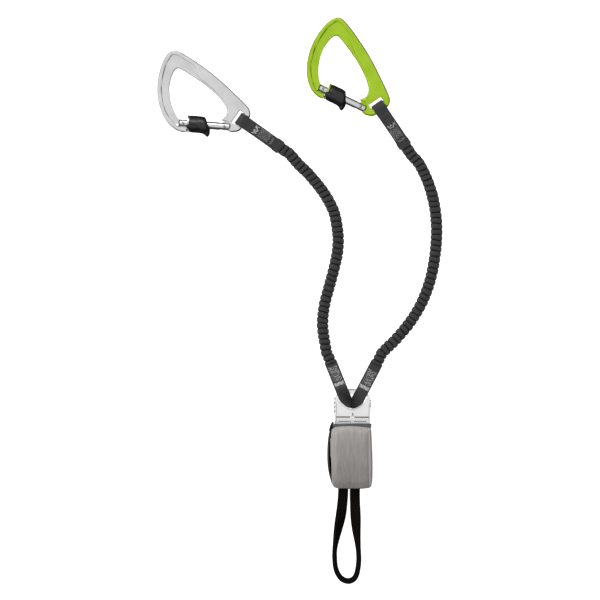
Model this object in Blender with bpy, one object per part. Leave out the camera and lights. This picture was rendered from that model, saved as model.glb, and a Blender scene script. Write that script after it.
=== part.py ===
"""Via ferrata lanyard lying flat on a surface.

Two connectors on two gathered elastic arms, the tear-webbing absorber in its pouch and the
tie-in loop that fastens to a harness. Lengths are in metres. +X points right, +Y from the
tie-in loop towards the connectors and +Z up from the surface. The origin is the middle of
the pouch's flat underside.
"""
import math

import bmesh
import bpy
from mathutils import Matrix, Vector

# Clearances and cuts
GAP = 0.0003
SWEEP_GAP = 0.0004
OVERRUN = 0.002

# Connector plate. Its outline is drawn round the gate's hinge rivet, with the gate along -X: the
# head reaches past the gate's end and rises above the webbing slot.
PLATE_THICKNESS = 0.010
PLATE_EDGE_ROUND = 0.0014
HEAD_OVERHANG = 0.0290
HEAD_RISE = 0.0646
TAIL_LIP = 0.0013
RECESS_DEPTH = 0.0010
RECESS_BORDER = 0.0048
RECESS_RIM = 0.0024

# Slot and round bar that the webbing loop hangs on
SLOT_TURN = math.radians(-30.5)
SLOT_LENGTH = 0.0186
SLOT_NEAR_SIDE = 0.0034
SLOT_WIDTH = 0.0059
SLOT_SHIFT = 0.0180
SLOT_CORNER = 0.0012
BAR_WIDTH = 0.0079
BAR_RADIUS = 0.00455
SADDLE_RADIUS = 0.0076

# Gate, its rivets and the nose that it closes on
GATE_RADIUS = 0.0045
GATE_EDGE_ROUND = 0.0006
HINGE_TO_LATCH = 0.0495
LATCH_TO_GATE_END = 0.0049
GATE_TAIL = 0.0066
GATE_TAIL_RADIUS = 0.0070
GATE_OPENING = math.radians(28.0)
HINGE_RIVET_RADIUS = 0.0015
LATCH_RIVET_RADIUS = 0.0013
RIVET_STAND = 0.0002
NOSE_BLADE = 0.0036
NOSE_BLADE_LENGTH = 0.0095
NOSE_BLADE_RISE = 0.0042
NOTCH_PLAY = 0.00045
NOSE_STRIP_DROP = 0.0101
HINGE_TANG = 0.0034
HINGE_TANG_RADIUS = 0.0054
PLUNGER_TRAVEL = 0.0008
PLUNGER_RADIUS = 0.0016
PLUNGER_LENGTH = 0.0070
SPRING_LENGTH = 0.0085
SPRING_WIRE = 0.0003
SPRING_TURNS = 6

# Locking sleeve that turns on the gate, and the lip of the nose that it traps
SLEEVE_RADIUS = 0.0102
SLEEVE_WALL = 0.00095
SLEEVE_START = 0.0424
SLEEVE_END = 0.0198
SLEEVE_END_SLANT = 0.0027
SLEEVE_CUP_DEPTH = 0.0028
TAB_REACH = 0.0026
TAB_START = math.radians(100.0)
TAB_END = math.radians(132.0)
SPUR_REACH = 0.0050
RING_LENGTH = 0.0020
LIP_WIDTH = 0.0024
LIP_LENGTH = 0.0041
LIP_TOP = 0.0062
LIP_BOTTOM = 0.0089

# Webbing of the arms
WEBBING_WIDTH = 0.0150
WEBBING_PLY = 0.0012
SEWN_THICKNESS = 0.0030
BAR_LOOP_NECK = 0.0180
BAR_LOOP_LENGTH = 0.0550
TACK_LENGTH = 0.0055
SILVER_UPPER_TACK = 0.0205
GREEN_UPPER_TACK = 0.0260
SILVER_LOWER_TACK = 0.0240
GREEN_LOWER_TACK = 0.0275
TACK_WIDTH = 0.0115
TACK_THICKNESS = 0.0005

# Gathered sleeve of each arm and the elastic core inside it
ARM_HALF_WIDTH = 0.0072
ARM_HALF_HEIGHT = 0.0046
ARM_RIBS = 44
RIB_VALLEY_SHARE = 0.80
ELASTIC_RADIUS = 0.0022
ARM_HEIGHT = 0.0050

# Sewn eye of the absorber, which both arms loop through
EYE_WIDTH = 0.0448
EYE_REACH = 0.0430
EYE_ROOT = 0.0388
EYE_TAIL = 0.0148
EYE_CENTRE = 0.0010
EYE_HEIGHT = 0.0100
EYE_THICKNESS = 0.0030
EYE_BAND = 0.0060
EYE_SIDE_BAND = 0.0046
EYE_HOLE_DEPTH = 0.0154
EYE_HOLE_ARCH = 0.0028
EYE_HOLE_POWER = 1.6
EYE_LOOP_PLY = 0.00125
EYE_LOOP_OPENING_RUN = 0.0022

# Pouch and the folded tear webbing in it
POUCH_WIDTH = 0.0498
POUCH_LENGTH = 0.0757
POUCH_THICKNESS = 0.0270
POUCH_WALL = 0.0012
POUCH_BULGE = 0.0010
POUCH_LEAN = 0.0036
POUCH_PANEL_DEPTH = 0.0055
POUCH_CROWN = 0.0016
POUCH_TOP_CORNER = 0.0035
POUCH_LOW_CORNER = 0.0050
PANEL_SHOULDER = 0.0045
BINDING_WIDTH = 0.0042
BINDING_THICKNESS = 0.0028
FOLD_COUNT = 8
FOLD_PLY = 0.0019
FOLD_WIDTH = 0.0420

# Tie-in loop
LOOP_WEBBING_WIDTH = 0.0122
LOOP_WEBBING_THICKNESS = 0.0042
LOOP_TWIST = math.radians(80.0)
LOOP_HEIGHT = 0.0080
LOOP_ROOT_DEPTH = 0.0060
LOOP_STATIONS = 44

# Where the connectors lie: hinge rivet, then the turn of the gate's line
SILVER_PLACE = (-0.1523, 0.3965)
SILVER_TURN = math.radians(-4.5)
GREEN_PLACE = (0.0109, 0.4202)
GREEN_TURN = math.radians(-25.0)

# Routes of the two gathered arms, from the connector end to the absorber end
SILVER_ARM_ROUTE = [
    (-0.0750, 0.3612), (-0.0636, 0.3516), (-0.0534, 0.3420), (-0.0450, 0.3324), (-0.0372, 0.3228),
    (-0.0306, 0.3132), (-0.0252, 0.3036), (-0.0210, 0.2940), (-0.0186, 0.2844), (-0.0162, 0.2676),
    (-0.0160, 0.2556), (-0.0176, 0.2412), (-0.0220, 0.2220), (-0.0272, 0.2028), (-0.0322, 0.1836),
    (-0.0346, 0.1644), (-0.0340, 0.1500), (-0.0304, 0.1308),
]
GREEN_ARM_ROUTE = [
    (0.0745, 0.3612), (0.0818, 0.3516), (0.0912, 0.3324), (0.0974, 0.3132), (0.1010, 0.2940),
    (0.1024, 0.2748), (0.1018, 0.2556), (0.0996, 0.2364), (0.0959, 0.2172), (0.0899, 0.1980),
    (0.0812, 0.1788), (0.0688, 0.1596), (0.0527, 0.1404), (0.0448, 0.1328),
]
SILVER_ARM_END = (-0.0246, 0.1128)
SILVER_TONGUE_END = (-0.0022, 0.0566)
GREEN_ARM_END = (0.0300, 0.1116)
GREEN_TONGUE_END = (0.0010, 0.0566)

# Middle line of the tie-in loop, from its left root round to its right root
TIE_IN_ROUTE = [
    (-0.0099, -0.0385), (-0.0106, -0.0516), (-0.0127, -0.0696), (-0.0162, -0.0876), (-0.0193, -0.1056),
    (-0.0202, -0.1146), (-0.0201, -0.1236), (-0.0191, -0.1326), (-0.0162, -0.1407), (-0.0112, -0.1468),
    (-0.0038, -0.1493), (0.0026, -0.1468), (0.0063, -0.1407), (0.0080, -0.1326), (0.0088, -0.1236),
    (0.0085, -0.1146), (0.0077, -0.1056), (0.0059, -0.0876), (0.0049, -0.0696), (0.0042, -0.0516),
    (0.0041, -0.0385),
]

# Outlines gone round from the nose. The plate's shares count 0 to -1 from the hinge to the gate's end
# and -1 to -2 on to the head's reach, 0 to 1 out to the tail, and 0 to 1 to 2 up to the slot's top and
# the head's top.
OUTER_SHARES = [
    (-0.924, -0.476), (-1.125, -0.373), (-1.398, -0.119), (-1.621, 0.226), (-1.800, 0.662),
    (-1.930, 1.062), (-2.000, 1.262), (-1.988, 1.500), (-1.896, 1.708), (-1.777, 1.854),
    (-1.638, 1.947), (-1.464, 1.997), (-1.241, 1.985), (-0.945, 1.916), (-0.727, 1.815),
    (-0.400, 1.647), (-0.073, 1.446), (0.333, 1.271), (0.734, 1.116), (0.916, 1.032),
    (0.995, 0.821), (0.942, 0.547), (0.684, -0.040), (0.518, -0.218), (0.286, -0.274),
]
INNER_SHARES = [
    (-0.076, 0.360), (-0.006, 0.523), (0.048, 0.797), (-0.006, 1.024), (-0.055, 1.085),
    (-0.191, 1.210), (-0.400, 1.351), (-0.609, 1.472), (-0.819, 1.567), (-1.001, 1.647),
    (-1.154, 1.675), (-1.264, 1.674), (-1.369, 1.626), (-1.455, 1.516), (-1.510, 1.385),
    (-1.508, 1.247), (-1.424, 1.062), (-1.287, 0.729), (-1.137, 0.396), (-1.050, 0.238),
]
RECESS_FIRST = 1
RECESS_LAST = 14
RECESS_RIM_FIRST = 7
RECESS_RIM_LAST = 1
BASKET_MIDDLE_SHARES = [(-0.260, 0.555), (-0.916, 0.555)]
EYE_SHARES = [
    (-0.480, 0.00), (-0.500, 0.45), (-0.497, 0.68), (-0.460, 0.80), (-0.385, 0.90), (-0.235, 0.975),
    (0.000, 1.00), (0.235, 0.975), (0.385, 0.90), (0.460, 0.80), (0.497, 0.68), (0.500, 0.45),
    (0.480, 0.00),
]
PLATE_ROUND_SHARES = ((1.0, 0.0), (0.29, 0.29), (0.0, 1.0))
RIVET_DOME_SHARES = (0.55, 0.9)
WEBBING_EDGE_SHARE = 0.2
LOOP_EDGE_SHARE = 0.94
LOOP_TWIST_SHARES = (0.08, 0.70)
POUCH_WALL_SHARES = ((0.0, 0.25), (0.12, 0.7), (0.4, 1.0), (0.65, 0.9), (1.0, 0.0))
PANEL_EDGE_SHARES = ((0.0, 0.55), (0.25, 0.85), (0.8, 1.0))
PANEL_ROOM_SHARE = 0.4
BINDING_END_SHARE = 0.6
POUCH_BOW_SHARES = [(0.986, 0.0), (0.883, 0.50), (0.685, 0.80), (0.489, 0.97), (0.349, 1.0),
                    (0.207, 0.55), (0.139, 0.0)]
SLEEVE_STATION_SHARES = [0.0, 0.04, 0.16, 0.30, 0.45, 0.58, 0.68, 0.77, 0.85, 0.91, 0.96, 1.0]
SLEEVE_RADIUS_SHARES = [0.93, 0.985, 1.0, 1.0, 1.0, 1.0, 0.99, 0.975, 0.95, 0.90, 0.80, 0.62]
SPUR_SHARES = [0.0, 0.0, 0.0, 0.0, 0.0, 0.02, 0.14, 0.40, 0.80, 1.0, 1.0, 0.80]

# Fineness of the meshes
OUTLINE_STEPS = 2
ROUND_SIDES = 20
SLEEVE_SIDES = 28
SLEEVE_SPUR_HALF = math.radians(30.0)
BORE_STEPS = 36
EYE_STEPS = 14
RIVET_SIDES = 12

# Values that follow from the sizes above
HALF_PLATE = PLATE_THICKNESS / 2
CONNECTOR_HEIGHT = SLEEVE_RADIUS
BAR_MIDDLE = SLOT_NEAR_SIDE + SLOT_WIDTH + BAR_WIDTH / 2
SLOT_REACH = SLOT_SHIFT + SLOT_LENGTH / 2
SLOT_TOP = SLOT_NEAR_SIDE * math.sin(SLOT_TURN) + SLOT_REACH * math.cos(SLOT_TURN)
TAIL_REACH = (BAR_MIDDLE + BAR_WIDTH / 2) * math.cos(SLOT_TURN) - SLOT_REACH * math.sin(SLOT_TURN) + TAIL_LIP
BAR_SPOT = (
    BAR_MIDDLE * math.cos(SLOT_TURN) - SLOT_SHIFT * math.sin(SLOT_TURN),
    BAR_MIDDLE * math.sin(SLOT_TURN) + SLOT_SHIFT * math.cos(SLOT_TURN),
)
GATE_END = HINGE_TO_LATCH + LATCH_TO_GATE_END
BLADE_FAR = GATE_END + 2 * GAP
BLADE_NEAR = BLADE_FAR - NOSE_BLADE_LENGTH
FORK_SLOT_END = BLADE_NEAR - 2 * GAP
TANG_REST_RADIUS = HINGE_TANG_RADIUS - PLUNGER_TRAVEL
CLEVIS_DEPTH = HINGE_TANG_RADIUS + 2 * GAP
PLUNGER_TIP = TANG_REST_RADIUS + GAP
BORE_RADIUS = PLUNGER_RADIUS + GAP
SPRING_GAP = PLUNGER_TRAVEL + GAP
BORE_END = PLUNGER_TIP + PLUNGER_LENGTH + SPRING_GAP + SPRING_LENGTH + GAP
SLEEVE_BORE = GATE_RADIUS + GAP
SLEEVE_CUP = SLEEVE_RADIUS - SLEEVE_WALL
RING_START = SLEEVE_START + GAP + RING_LENGTH
STRIP_RADIUS = math.hypot(RING_START, SLEEVE_RADIUS) + GAP
LOOP_INNER = BAR_RADIUS + GAP
LOOP_OUTER = LOOP_INNER + WEBBING_PLY
BORE_IN_SLEEVE = ELASTIC_RADIUS + SWEEP_GAP + GAP / 2
EYE_LOOP_HALF = EYE_THICKNESS / 2 + GAP + EYE_LOOP_PLY
EYE_TOP = EYE_HEIGHT + EYE_THICKNESS / 2
EYE_BOTTOM = EYE_HEIGHT - EYE_THICKNESS / 2
EYE_HOLE_HALF = EYE_WIDTH / 2 - EYE_SIDE_BAND
EYE_TIP = EYE_ROOT + EYE_REACH
EYE_HOLE_TOP = EYE_TIP - EYE_BAND
EYE_HOLE_MIDDLE = EYE_HOLE_TOP - EYE_HOLE_ARCH
POUCH_TOP = POUCH_LENGTH / 2
TRAY_HEIGHT = POUCH_THICKNESS - POUCH_PANEL_DEPTH - GAP


def clear_scene():
    for thing in list(bpy.data.objects):
        bpy.data.objects.remove(thing, do_unlink=True)


def make_material(name, colour, metallic, roughness):
    material = bpy.data.materials.new(name)
    material.use_nodes = True
    shader = material.node_tree.nodes["Principled BSDF"]
    shader.inputs["Base Color"].default_value = (*colour, 1.0)
    shader.inputs["Metallic"].default_value = metallic
    shader.inputs["Roughness"].default_value = roughness
    return material


def link_object(name, data):
    thing = bpy.data.objects.new(name, data)
    bpy.context.scene.collection.objects.link(thing)
    return thing


def finish_mesh(bm, name, smooth=False):
    bmesh.ops.recalc_face_normals(bm, faces=bm.faces)
    mesh = bpy.data.meshes.new(name)
    bm.to_mesh(mesh)
    bm.free()
    if smooth:
        mesh.shade_smooth()
        mesh.set_sharp_from_angle(angle=math.radians(35.0))
    return mesh


def loft(name, rings, smooth=False):
    """Closed solid through rings of points, with a flat cap on each end."""
    bm = bmesh.new()
    rows = [[bm.verts.new(point) for point in ring] for ring in rings]
    count = len(rows[0])
    for low, high in zip(rows, rows[1:]):
        for i in range(count):
            j = (i + 1) % count
            bm.faces.new((low[i], low[j], high[j], high[i]))
    bm.faces.new(rows[0])
    bm.faces.new(rows[-1])
    return finish_mesh(bm, name, smooth)


def prism(name, outline, low, high):
    """Solid of one flat outline between two heights."""
    rings = [[(x, y, z) for x, y in outline] for z in (low, high)]
    return loft(name, rings)


def side_prism(name, outline, half_width, hole=None):
    """Solid of an outline drawn in X and Z, as wide as the webbing, with an optional hole."""
    bm = bmesh.new()
    edges = []
    for loop in filter(None, (outline, hole)):
        verts = [bm.verts.new((x, -half_width, z)) for x, z in loop]
        edges += [bm.edges.new((verts[i], verts[(i + 1) % len(verts)])) for i in range(len(verts))]
    filled = bmesh.ops.triangle_fill(bm, use_beauty=True, edges=edges)
    faces = [piece for piece in filled["geom"] if isinstance(piece, bmesh.types.BMFace)]
    grown = bmesh.ops.extrude_face_region(bm, geom=faces, use_keep_orig=True)
    moved = [piece for piece in grown["geom"] if isinstance(piece, bmesh.types.BMVert)]
    bmesh.ops.translate(bm, verts=moved, vec=(0, 2 * half_width, 0))
    return finish_mesh(bm, name)


def turned(name, profile, sides=ROUND_SIDES, smooth=True):
    """Solid turned round X from (x, radius) pairs, with flat ends."""
    rings = []
    for x, radius in profile:
        steps = [2 * math.pi * i / sides for i in range(sides)]
        rings.append([(x, radius * math.cos(step), radius * math.sin(step)) for step in steps])
    return loft(name, rings, smooth)


def turned_tube(name, inner, outer, start, end, sides=ROUND_SIDES):
    """Closed tube round X."""
    bm = bmesh.new()
    rows = []
    for x, radius in ((start, inner), (start, outer), (end, outer), (end, inner)):
        row = []
        for i in range(sides):
            step = 2 * math.pi * i / sides
            row.append(bm.verts.new((x, radius * math.cos(step), radius * math.sin(step))))
        rows.append(row)
    for k in range(len(rows)):
        row, after = rows[k], rows[(k + 1) % len(rows)]
        for i in range(sides):
            j = (i + 1) % sides
            bm.faces.new((row[i], row[j], after[j], after[i]))
    return finish_mesh(bm, name)


def smooth_line(points, steps):
    """Points on a smooth open curve through the given ones."""
    line = []
    last = len(points) - 1
    for i in range(last):
        a = Vector(points[max(i - 1, 0)])
        b = Vector(points[i])
        c = Vector(points[i + 1])
        d = Vector(points[min(i + 2, last)])
        for k in range(steps):
            t = k / steps
            spot = 2 * b + (c - a) * t + (2 * a - 5 * b + 4 * c - d) * t ** 2
            spot += (3 * b - a - 3 * c + d) * t ** 3
            line.append(spot / 2)
    line.append(Vector(points[-1]))
    return line


def spaced_line(line, stations):
    """Points along a line at the given shares of its length."""
    run = [0.0]
    for before, after in zip(line, line[1:]):
        run.append(run[-1] + (after - before).length)
    spots = []
    k = 0
    for share in stations:
        goal = share * run[-1]
        while k < len(run) - 2 and run[k + 1] < goal:
            k += 1
        along = (goal - run[k]) / (run[k + 1] - run[k])
        spots.append(line[k].lerp(line[k + 1], along))
    return spots


def offset_line(line, distance):
    """The line moved to its left by a distance."""
    moved = []
    for i, spot in enumerate(line):
        way = line[min(i + 1, len(line) - 1)] - line[max(i - 1, 0)]
        way.normalize()
        moved.append(Vector((spot.x - way.y * distance, spot.y + way.x * distance)))
    return moved


def carve(thing, cutters, operation="DIFFERENCE"):
    """Cut a mesh object with others, keep the result and remove the cutters."""
    for cutter in cutters:
        cutter.hide_render = True
        cutter.display_type = "WIRE"
        modifier = thing.modifiers.new("cut", "BOOLEAN")
        modifier.operation = operation
        modifier.object = cutter
    bpy.context.view_layer.update()
    graph = bpy.context.evaluated_depsgraph_get()
    cut = bpy.data.meshes.new_from_object(thing.evaluated_get(graph))
    thing.modifiers.clear()
    thing.data = cut
    for cutter in cutters:
        bpy.data.objects.remove(cutter, do_unlink=True)
    return cut


def carve_mesh(name, mesh, cutter_meshes, operation="DIFFERENCE"):
    """The same for loose meshes in one shared frame."""
    thing = link_object(name, mesh)
    cutters = [link_object(name + "_cutter", cutter) for cutter in cutter_meshes]
    cut = carve(thing, cutters, operation)
    bpy.data.objects.remove(thing, do_unlink=True)
    return cut


def moved_mesh(mesh, matrix):
    mesh.transform(matrix)
    return mesh


def place(name, mesh, material, parent=None, location=(0, 0, 0), turn=0.0):
    thing = link_object(name, mesh)
    mesh.materials.clear()
    mesh.materials.append(material)
    thing.location = location
    thing.rotation_euler = (0, 0, turn)
    thing.parent = parent
    return thing


def box_mesh(name, low, high):
    outline = [(low[0], low[1]), (high[0], low[1]), (high[0], high[1]), (low[0], high[1])]
    return prism(name, outline, low[2], high[2])


def arc_points(centre, radius, start, end, steps):
    """Points of an arc, both ends included. Angles are in radians."""
    points = []
    for i in range(steps + 1):
        angle = start + (end - start) * i / steps
        points.append((centre[0] + radius * math.cos(angle), centre[1] + radius * math.sin(angle)))
    return points


def rounded_box_outline(low, high, radii, steps=4):
    """Rectangle with its own radius at each corner, from the lower left one round."""
    corners = [(low[0], low[1], 1, 1), (high[0], low[1], -1, 1),
               (high[0], high[1], -1, -1), (low[0], high[1], 1, -1)]
    points = []
    for k, (x, y, side_x, side_y) in enumerate(corners):
        centre = (x + side_x * radii[k], y + side_y * radii[k])
        start = math.pi + k * math.pi / 2
        points += arc_points(centre, radii[k], start, start + math.pi / 2, steps)
    return points


def plate_spot(across, up):
    """Point of the plate from its shares."""
    if across < -1:
        x = -BLADE_FAR + (across + 1) * HEAD_OVERHANG
    else:
        x = across * (BLADE_FAR if across < 0 else TAIL_REACH)
    y = SLOT_TOP + (up - 1) * HEAD_RISE if up > 1 else up * SLOT_TOP
    return (x, y)


def connector_lines():
    """Outer and inner edge of the plate, in the gate's frame."""
    outer = [plate_spot(across, up) for across, up in OUTER_SHARES]
    inner = [plate_spot(across, up) for across, up in INNER_SHARES]
    return smooth_line(outer, OUTLINE_STEPS), smooth_line(inner, OUTLINE_STEPS)


def hinge_tang_points():
    """Round end of the plate inside the gate's clevis, with the cam that the plunger rides on."""
    points = []
    for degrees in (-66, -90, -112, -135, -157, -180, -194, -208, -225, -245, -262):
        rise = min(max((-180 - degrees) / math.degrees(GATE_OPENING), 0.0), 1.0)
        radius = TANG_REST_RADIUS + PLUNGER_TRAVEL * rise
        angle = math.radians(degrees)
        points.append((radius * math.cos(angle), radius * math.sin(angle)))
    return points


def plate_outline():
    """The whole outline, each point with a 1 where the edge is rounded over."""
    outer, inner = connector_lines()
    points = [(spot.x, spot.y, 1) for spot in outer]
    points += [(x, y, 0) for x, y in hinge_tang_points()]
    points += [(spot.x, spot.y, 1 if k > 1 else 0) for k, spot in enumerate(inner)]
    strip = GATE_RADIUS + SWEEP_GAP
    notch = LATCH_RIVET_RADIUS + NOTCH_PLAY
    floor = -LATCH_RIVET_RADIUS - GAP
    rise = NOSE_BLADE_RISE
    points += [
        (-BLADE_FAR, rise, 0),
        (-HINGE_TO_LATCH - notch, rise, 0),
        (-HINGE_TO_LATCH - notch, floor, 0),
        (-HINGE_TO_LATCH + notch, floor, 0),
        (-HINGE_TO_LATCH + notch, rise, 0),
        (-BLADE_NEAR, rise, 0),
        (-BLADE_NEAR, -strip, 0),
        (-strip_end(strip), -strip, 0),
        (-strip_end(LIP_TOP), -LIP_TOP, 0),
        (-lip_tip(), -LIP_TOP, 0),
        (-lip_tip(), -LIP_BOTTOM, 0),
        (-strip_end(LIP_BOTTOM), -LIP_BOTTOM, 0),
        (-strip_end(NOSE_STRIP_DROP), -NOSE_STRIP_DROP, 0),
    ]
    return points


def strip_end(drop):
    """How far from the hinge the nose strip ends, at a distance below the gate's line."""
    return math.sqrt(STRIP_RADIUS ** 2 - drop ** 2)


def lip_tip():
    return strip_end(LIP_TOP) - LIP_LENGTH


def plate_mesh():
    points = plate_outline()
    flat = [Vector((x, y)) for x, y, weight in points]
    closed = [flat[-1]] + flat + [flat[0]]
    inward = offset_line(closed, -1.0)
    rings = []
    levels = [(-HALF_PLATE + up * PLATE_EDGE_ROUND, share) for share, up in PLATE_ROUND_SHARES]
    levels += [(-z, share) for z, share in reversed(levels)]
    for z, share in levels:
        ring = []
        for k, (x, y, weight) in enumerate(points):
            way = inward[k + 1] - closed[k + 1]
            inset = way * (share * PLATE_EDGE_ROUND * weight)
            ring.append((x + inset.x, y + inset.y, z))
        rings.append(ring)
    return loft("plate", rings, smooth=True)


def mirrored_pair(name, outline, low, high):
    """The same cut above and below the plate's middle."""
    return [prism(name, outline, low, high), prism(name, outline, -high, -low)]


def slot_frame():
    return Matrix.Rotation(SLOT_TURN, 4, "Z")


def connector_body_mesh():
    plate = plate_mesh()
    top = HALF_PLATE + OVERRUN
    strip = GATE_RADIUS + SWEEP_GAP
    nose = [(-BLADE_FAR, -strip), (-FORK_SLOT_END + OVERRUN, -strip),
            (-FORK_SLOT_END + OVERRUN, NOSE_BLADE_RISE + OVERRUN), (-BLADE_FAR, NOSE_BLADE_RISE + OVERRUN)]
    cutters = mirrored_pair("nose_pocket", nose, NOSE_BLADE / 2, top)
    lip = [(-strip_end(strip), -strip + GAP), (-strip_end(strip), -strip),
           (-strip_end(LIP_TOP), -LIP_TOP), (-strip_end(LIP_BOTTOM), -LIP_BOTTOM),
           (-strip_end(NOSE_STRIP_DROP), -NOSE_STRIP_DROP - OVERRUN),
           (-lip_tip() + OVERRUN, -NOSE_STRIP_DROP - OVERRUN), (-lip_tip() + OVERRUN, -strip + GAP)]
    cutters += mirrored_pair("lip_side", lip, LIP_WIDTH / 2, top)
    pocket = arc_points((0, 0), GATE_TAIL_RADIUS + GAP, 0, 2 * math.pi, ROUND_SIDES * 2)[:-1]
    cutters += mirrored_pair("hinge_pocket", pocket, HINGE_TANG / 2, top)
    hole = arc_points((0, 0), HINGE_RIVET_RADIUS + GAP, 0, 2 * math.pi, ROUND_SIDES)[:-1]
    cutters.append(prism("hinge_hole", hole, -top, top))
    half_slot = SLOT_LENGTH / 2
    slot = rounded_box_outline((SLOT_NEAR_SIDE, SLOT_SHIFT - half_slot),
                               (SLOT_NEAR_SIDE + SLOT_WIDTH, SLOT_SHIFT + half_slot), [SLOT_CORNER] * 4)
    cutters.append(moved_mesh(prism("slot", slot, -top, top), slot_frame()))
    half_saddle = WEBBING_WIDTH / 2 + 2 * GAP
    saddle = turned_tube("saddle", BAR_RADIUS, SADDLE_RADIUS, -half_saddle, half_saddle)
    saddle = moved_mesh(saddle, slot_frame() @ Matrix.Translation((BAR_MIDDLE, SLOT_SHIFT, 0))
                        @ Matrix.Rotation(math.pi / 2, 4, "Z"))
    cutters.append(saddle)
    cutters += mirrored_pair("recess", recess_outline(), HALF_PLATE - RECESS_DEPTH, top)
    body = carve_mesh("connector_body", plate, cutters)
    body.shade_smooth()
    body.set_sharp_from_angle(angle=math.radians(35.0))
    return body


def recess_outline():
    """Sunk field round the basket: wide in the head, a narrow rim along the spine."""
    outer, inner = connector_lines()
    wide = offset_line(outer, -RECESS_BORDER)[RECESS_FIRST * OUTLINE_STEPS:RECESS_LAST * OUTLINE_STEPS + 1]
    rim = offset_line(inner, -RECESS_RIM)
    rim = rim[RECESS_RIM_LAST * OUTLINE_STEPS:RECESS_RIM_FIRST * OUTLINE_STEPS + 1]
    middle = [plate_spot(across, up) for across, up in BASKET_MIDDLE_SHARES]
    return [tuple(spot) for spot in wide] + [tuple(spot) for spot in reversed(rim)] + middle


def gate_mesh():
    small = GATE_RADIUS - GATE_EDGE_ROUND
    flat_end = math.sqrt(GATE_TAIL_RADIUS ** 2 - GATE_RADIUS ** 2)
    profile = [
        (-GATE_END, small), (-GATE_END + GATE_EDGE_ROUND, GATE_RADIUS),
        (flat_end - GATE_EDGE_ROUND, GATE_RADIUS), (GATE_TAIL - GATE_EDGE_ROUND, small),
        (GATE_TAIL, small - 2 * GATE_EDGE_ROUND),
    ]
    wide = GATE_RADIUS + OVERRUN
    fork = NOSE_BLADE / 2 + GAP
    clevis = HINGE_TANG / 2 + GAP
    bore = turned("plunger_bore", [(-BORE_END, BORE_RADIUS), (-CLEVIS_DEPTH + GAP, BORE_RADIUS)])
    hinge = arc_points((0, 0), HINGE_RIVET_RADIUS + GAP, 0, 2 * math.pi, ROUND_SIDES)[:-1]
    latch = arc_points((-HINGE_TO_LATCH, 0), LATCH_RIVET_RADIUS + GAP, 0, 2 * math.pi, ROUND_SIDES)[:-1]
    cutters = [
        box_mesh("fork", (-GATE_END - OVERRUN, -wide, -fork), (-FORK_SLOT_END, wide, fork)),
        box_mesh("clevis", (-CLEVIS_DEPTH, -wide, -clevis), (GATE_TAIL + OVERRUN, wide, clevis)),
        bore,
        prism("hinge_hole", hinge, -wide, wide),
        prism("latch_hole", latch, -wide, wide),
    ]
    gate = carve_mesh("gate", turned("gate_bar", profile), cutters)
    gate.shade_smooth()
    gate.set_sharp_from_angle(angle=math.radians(35.0))
    return gate


def rivet_mesh(radius):
    """Pin with a low dome on both ends, standing on Z."""
    half = GATE_RADIUS + RIVET_STAND
    flat_share, dome_share = RIVET_DOME_SHARES
    profile = [(-half, radius * flat_share), (-half + RIVET_STAND, radius * dome_share),
               (-half + 2 * RIVET_STAND, radius)]
    profile += [(-x, r) for x, r in reversed(profile)]
    rivet = turned("rivet", profile, sides=RIVET_SIDES)
    return moved_mesh(rivet, Matrix.Rotation(math.pi / 2, 4, "Y"))


def plunger_mesh():
    """Pin with a round nose on the cam of the hinge tang."""
    profile = []
    for degrees in (80, 60, 40, 20, 0):
        angle = math.radians(degrees)
        nose = PLUNGER_TIP + PLUNGER_RADIUS * (1 - math.sin(angle))
        profile.append((-nose, PLUNGER_RADIUS * math.cos(angle)))
    profile.append((-PLUNGER_TIP - PLUNGER_LENGTH, PLUNGER_RADIUS))
    return turned("plunger", profile, sides=ROUND_SIDES // 2)


def spring_mesh():
    """Compression spring behind the plunger, one unbroken wire."""
    turn_steps = 8
    radius = PLUNGER_RADIUS - SPRING_WIRE
    start = PLUNGER_TIP + PLUNGER_LENGTH + SPRING_GAP + SPRING_WIRE
    run = SPRING_LENGTH - 2 * SPRING_WIRE
    count = SPRING_TURNS * turn_steps
    points = []
    for i in range(count + 1):
        angle = 2 * math.pi * i / turn_steps
        points.append((-start - run * i / count, radius * math.cos(angle), radius * math.sin(angle)))
    print("least gap between the spring's turns:", round(run / SPRING_TURNS - 2 * SPRING_WIRE, 5))
    return tube_mesh("spring", points, SPRING_WIRE, 0)


def tube_mesh(name, points, radius, fineness, radii=None, profile=None):
    """Round or profiled tube along points, with filled ends."""
    curve = bpy.data.curves.new(name, "CURVE")
    curve.dimensions = "3D"
    curve.twist_mode = "Z_UP"
    curve.use_fill_caps = True
    if profile:
        curve.bevel_mode = "OBJECT"
        curve.bevel_object = profile
    else:
        curve.bevel_depth = radius
        curve.bevel_resolution = fineness
    spline = curve.splines.new("POLY")
    spline.points.add(len(points) - 1)
    for k, point in enumerate(points):
        spline.points[k].co = (*point, 1.0)
        spline.points[k].radius = radii[k] if radii else 1.0
    thing = link_object(name, curve)
    bpy.context.view_layer.update()
    graph = bpy.context.evaluated_depsgraph_get()
    mesh = bpy.data.meshes.new_from_object(thing.evaluated_get(graph))
    bpy.data.objects.remove(thing, do_unlink=True)
    bm = bmesh.new()
    bm.from_mesh(mesh)
    bmesh.ops.remove_doubles(bm, verts=bm.verts, dist=1e-6)
    return finish_mesh(bm, name, smooth=True)


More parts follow.
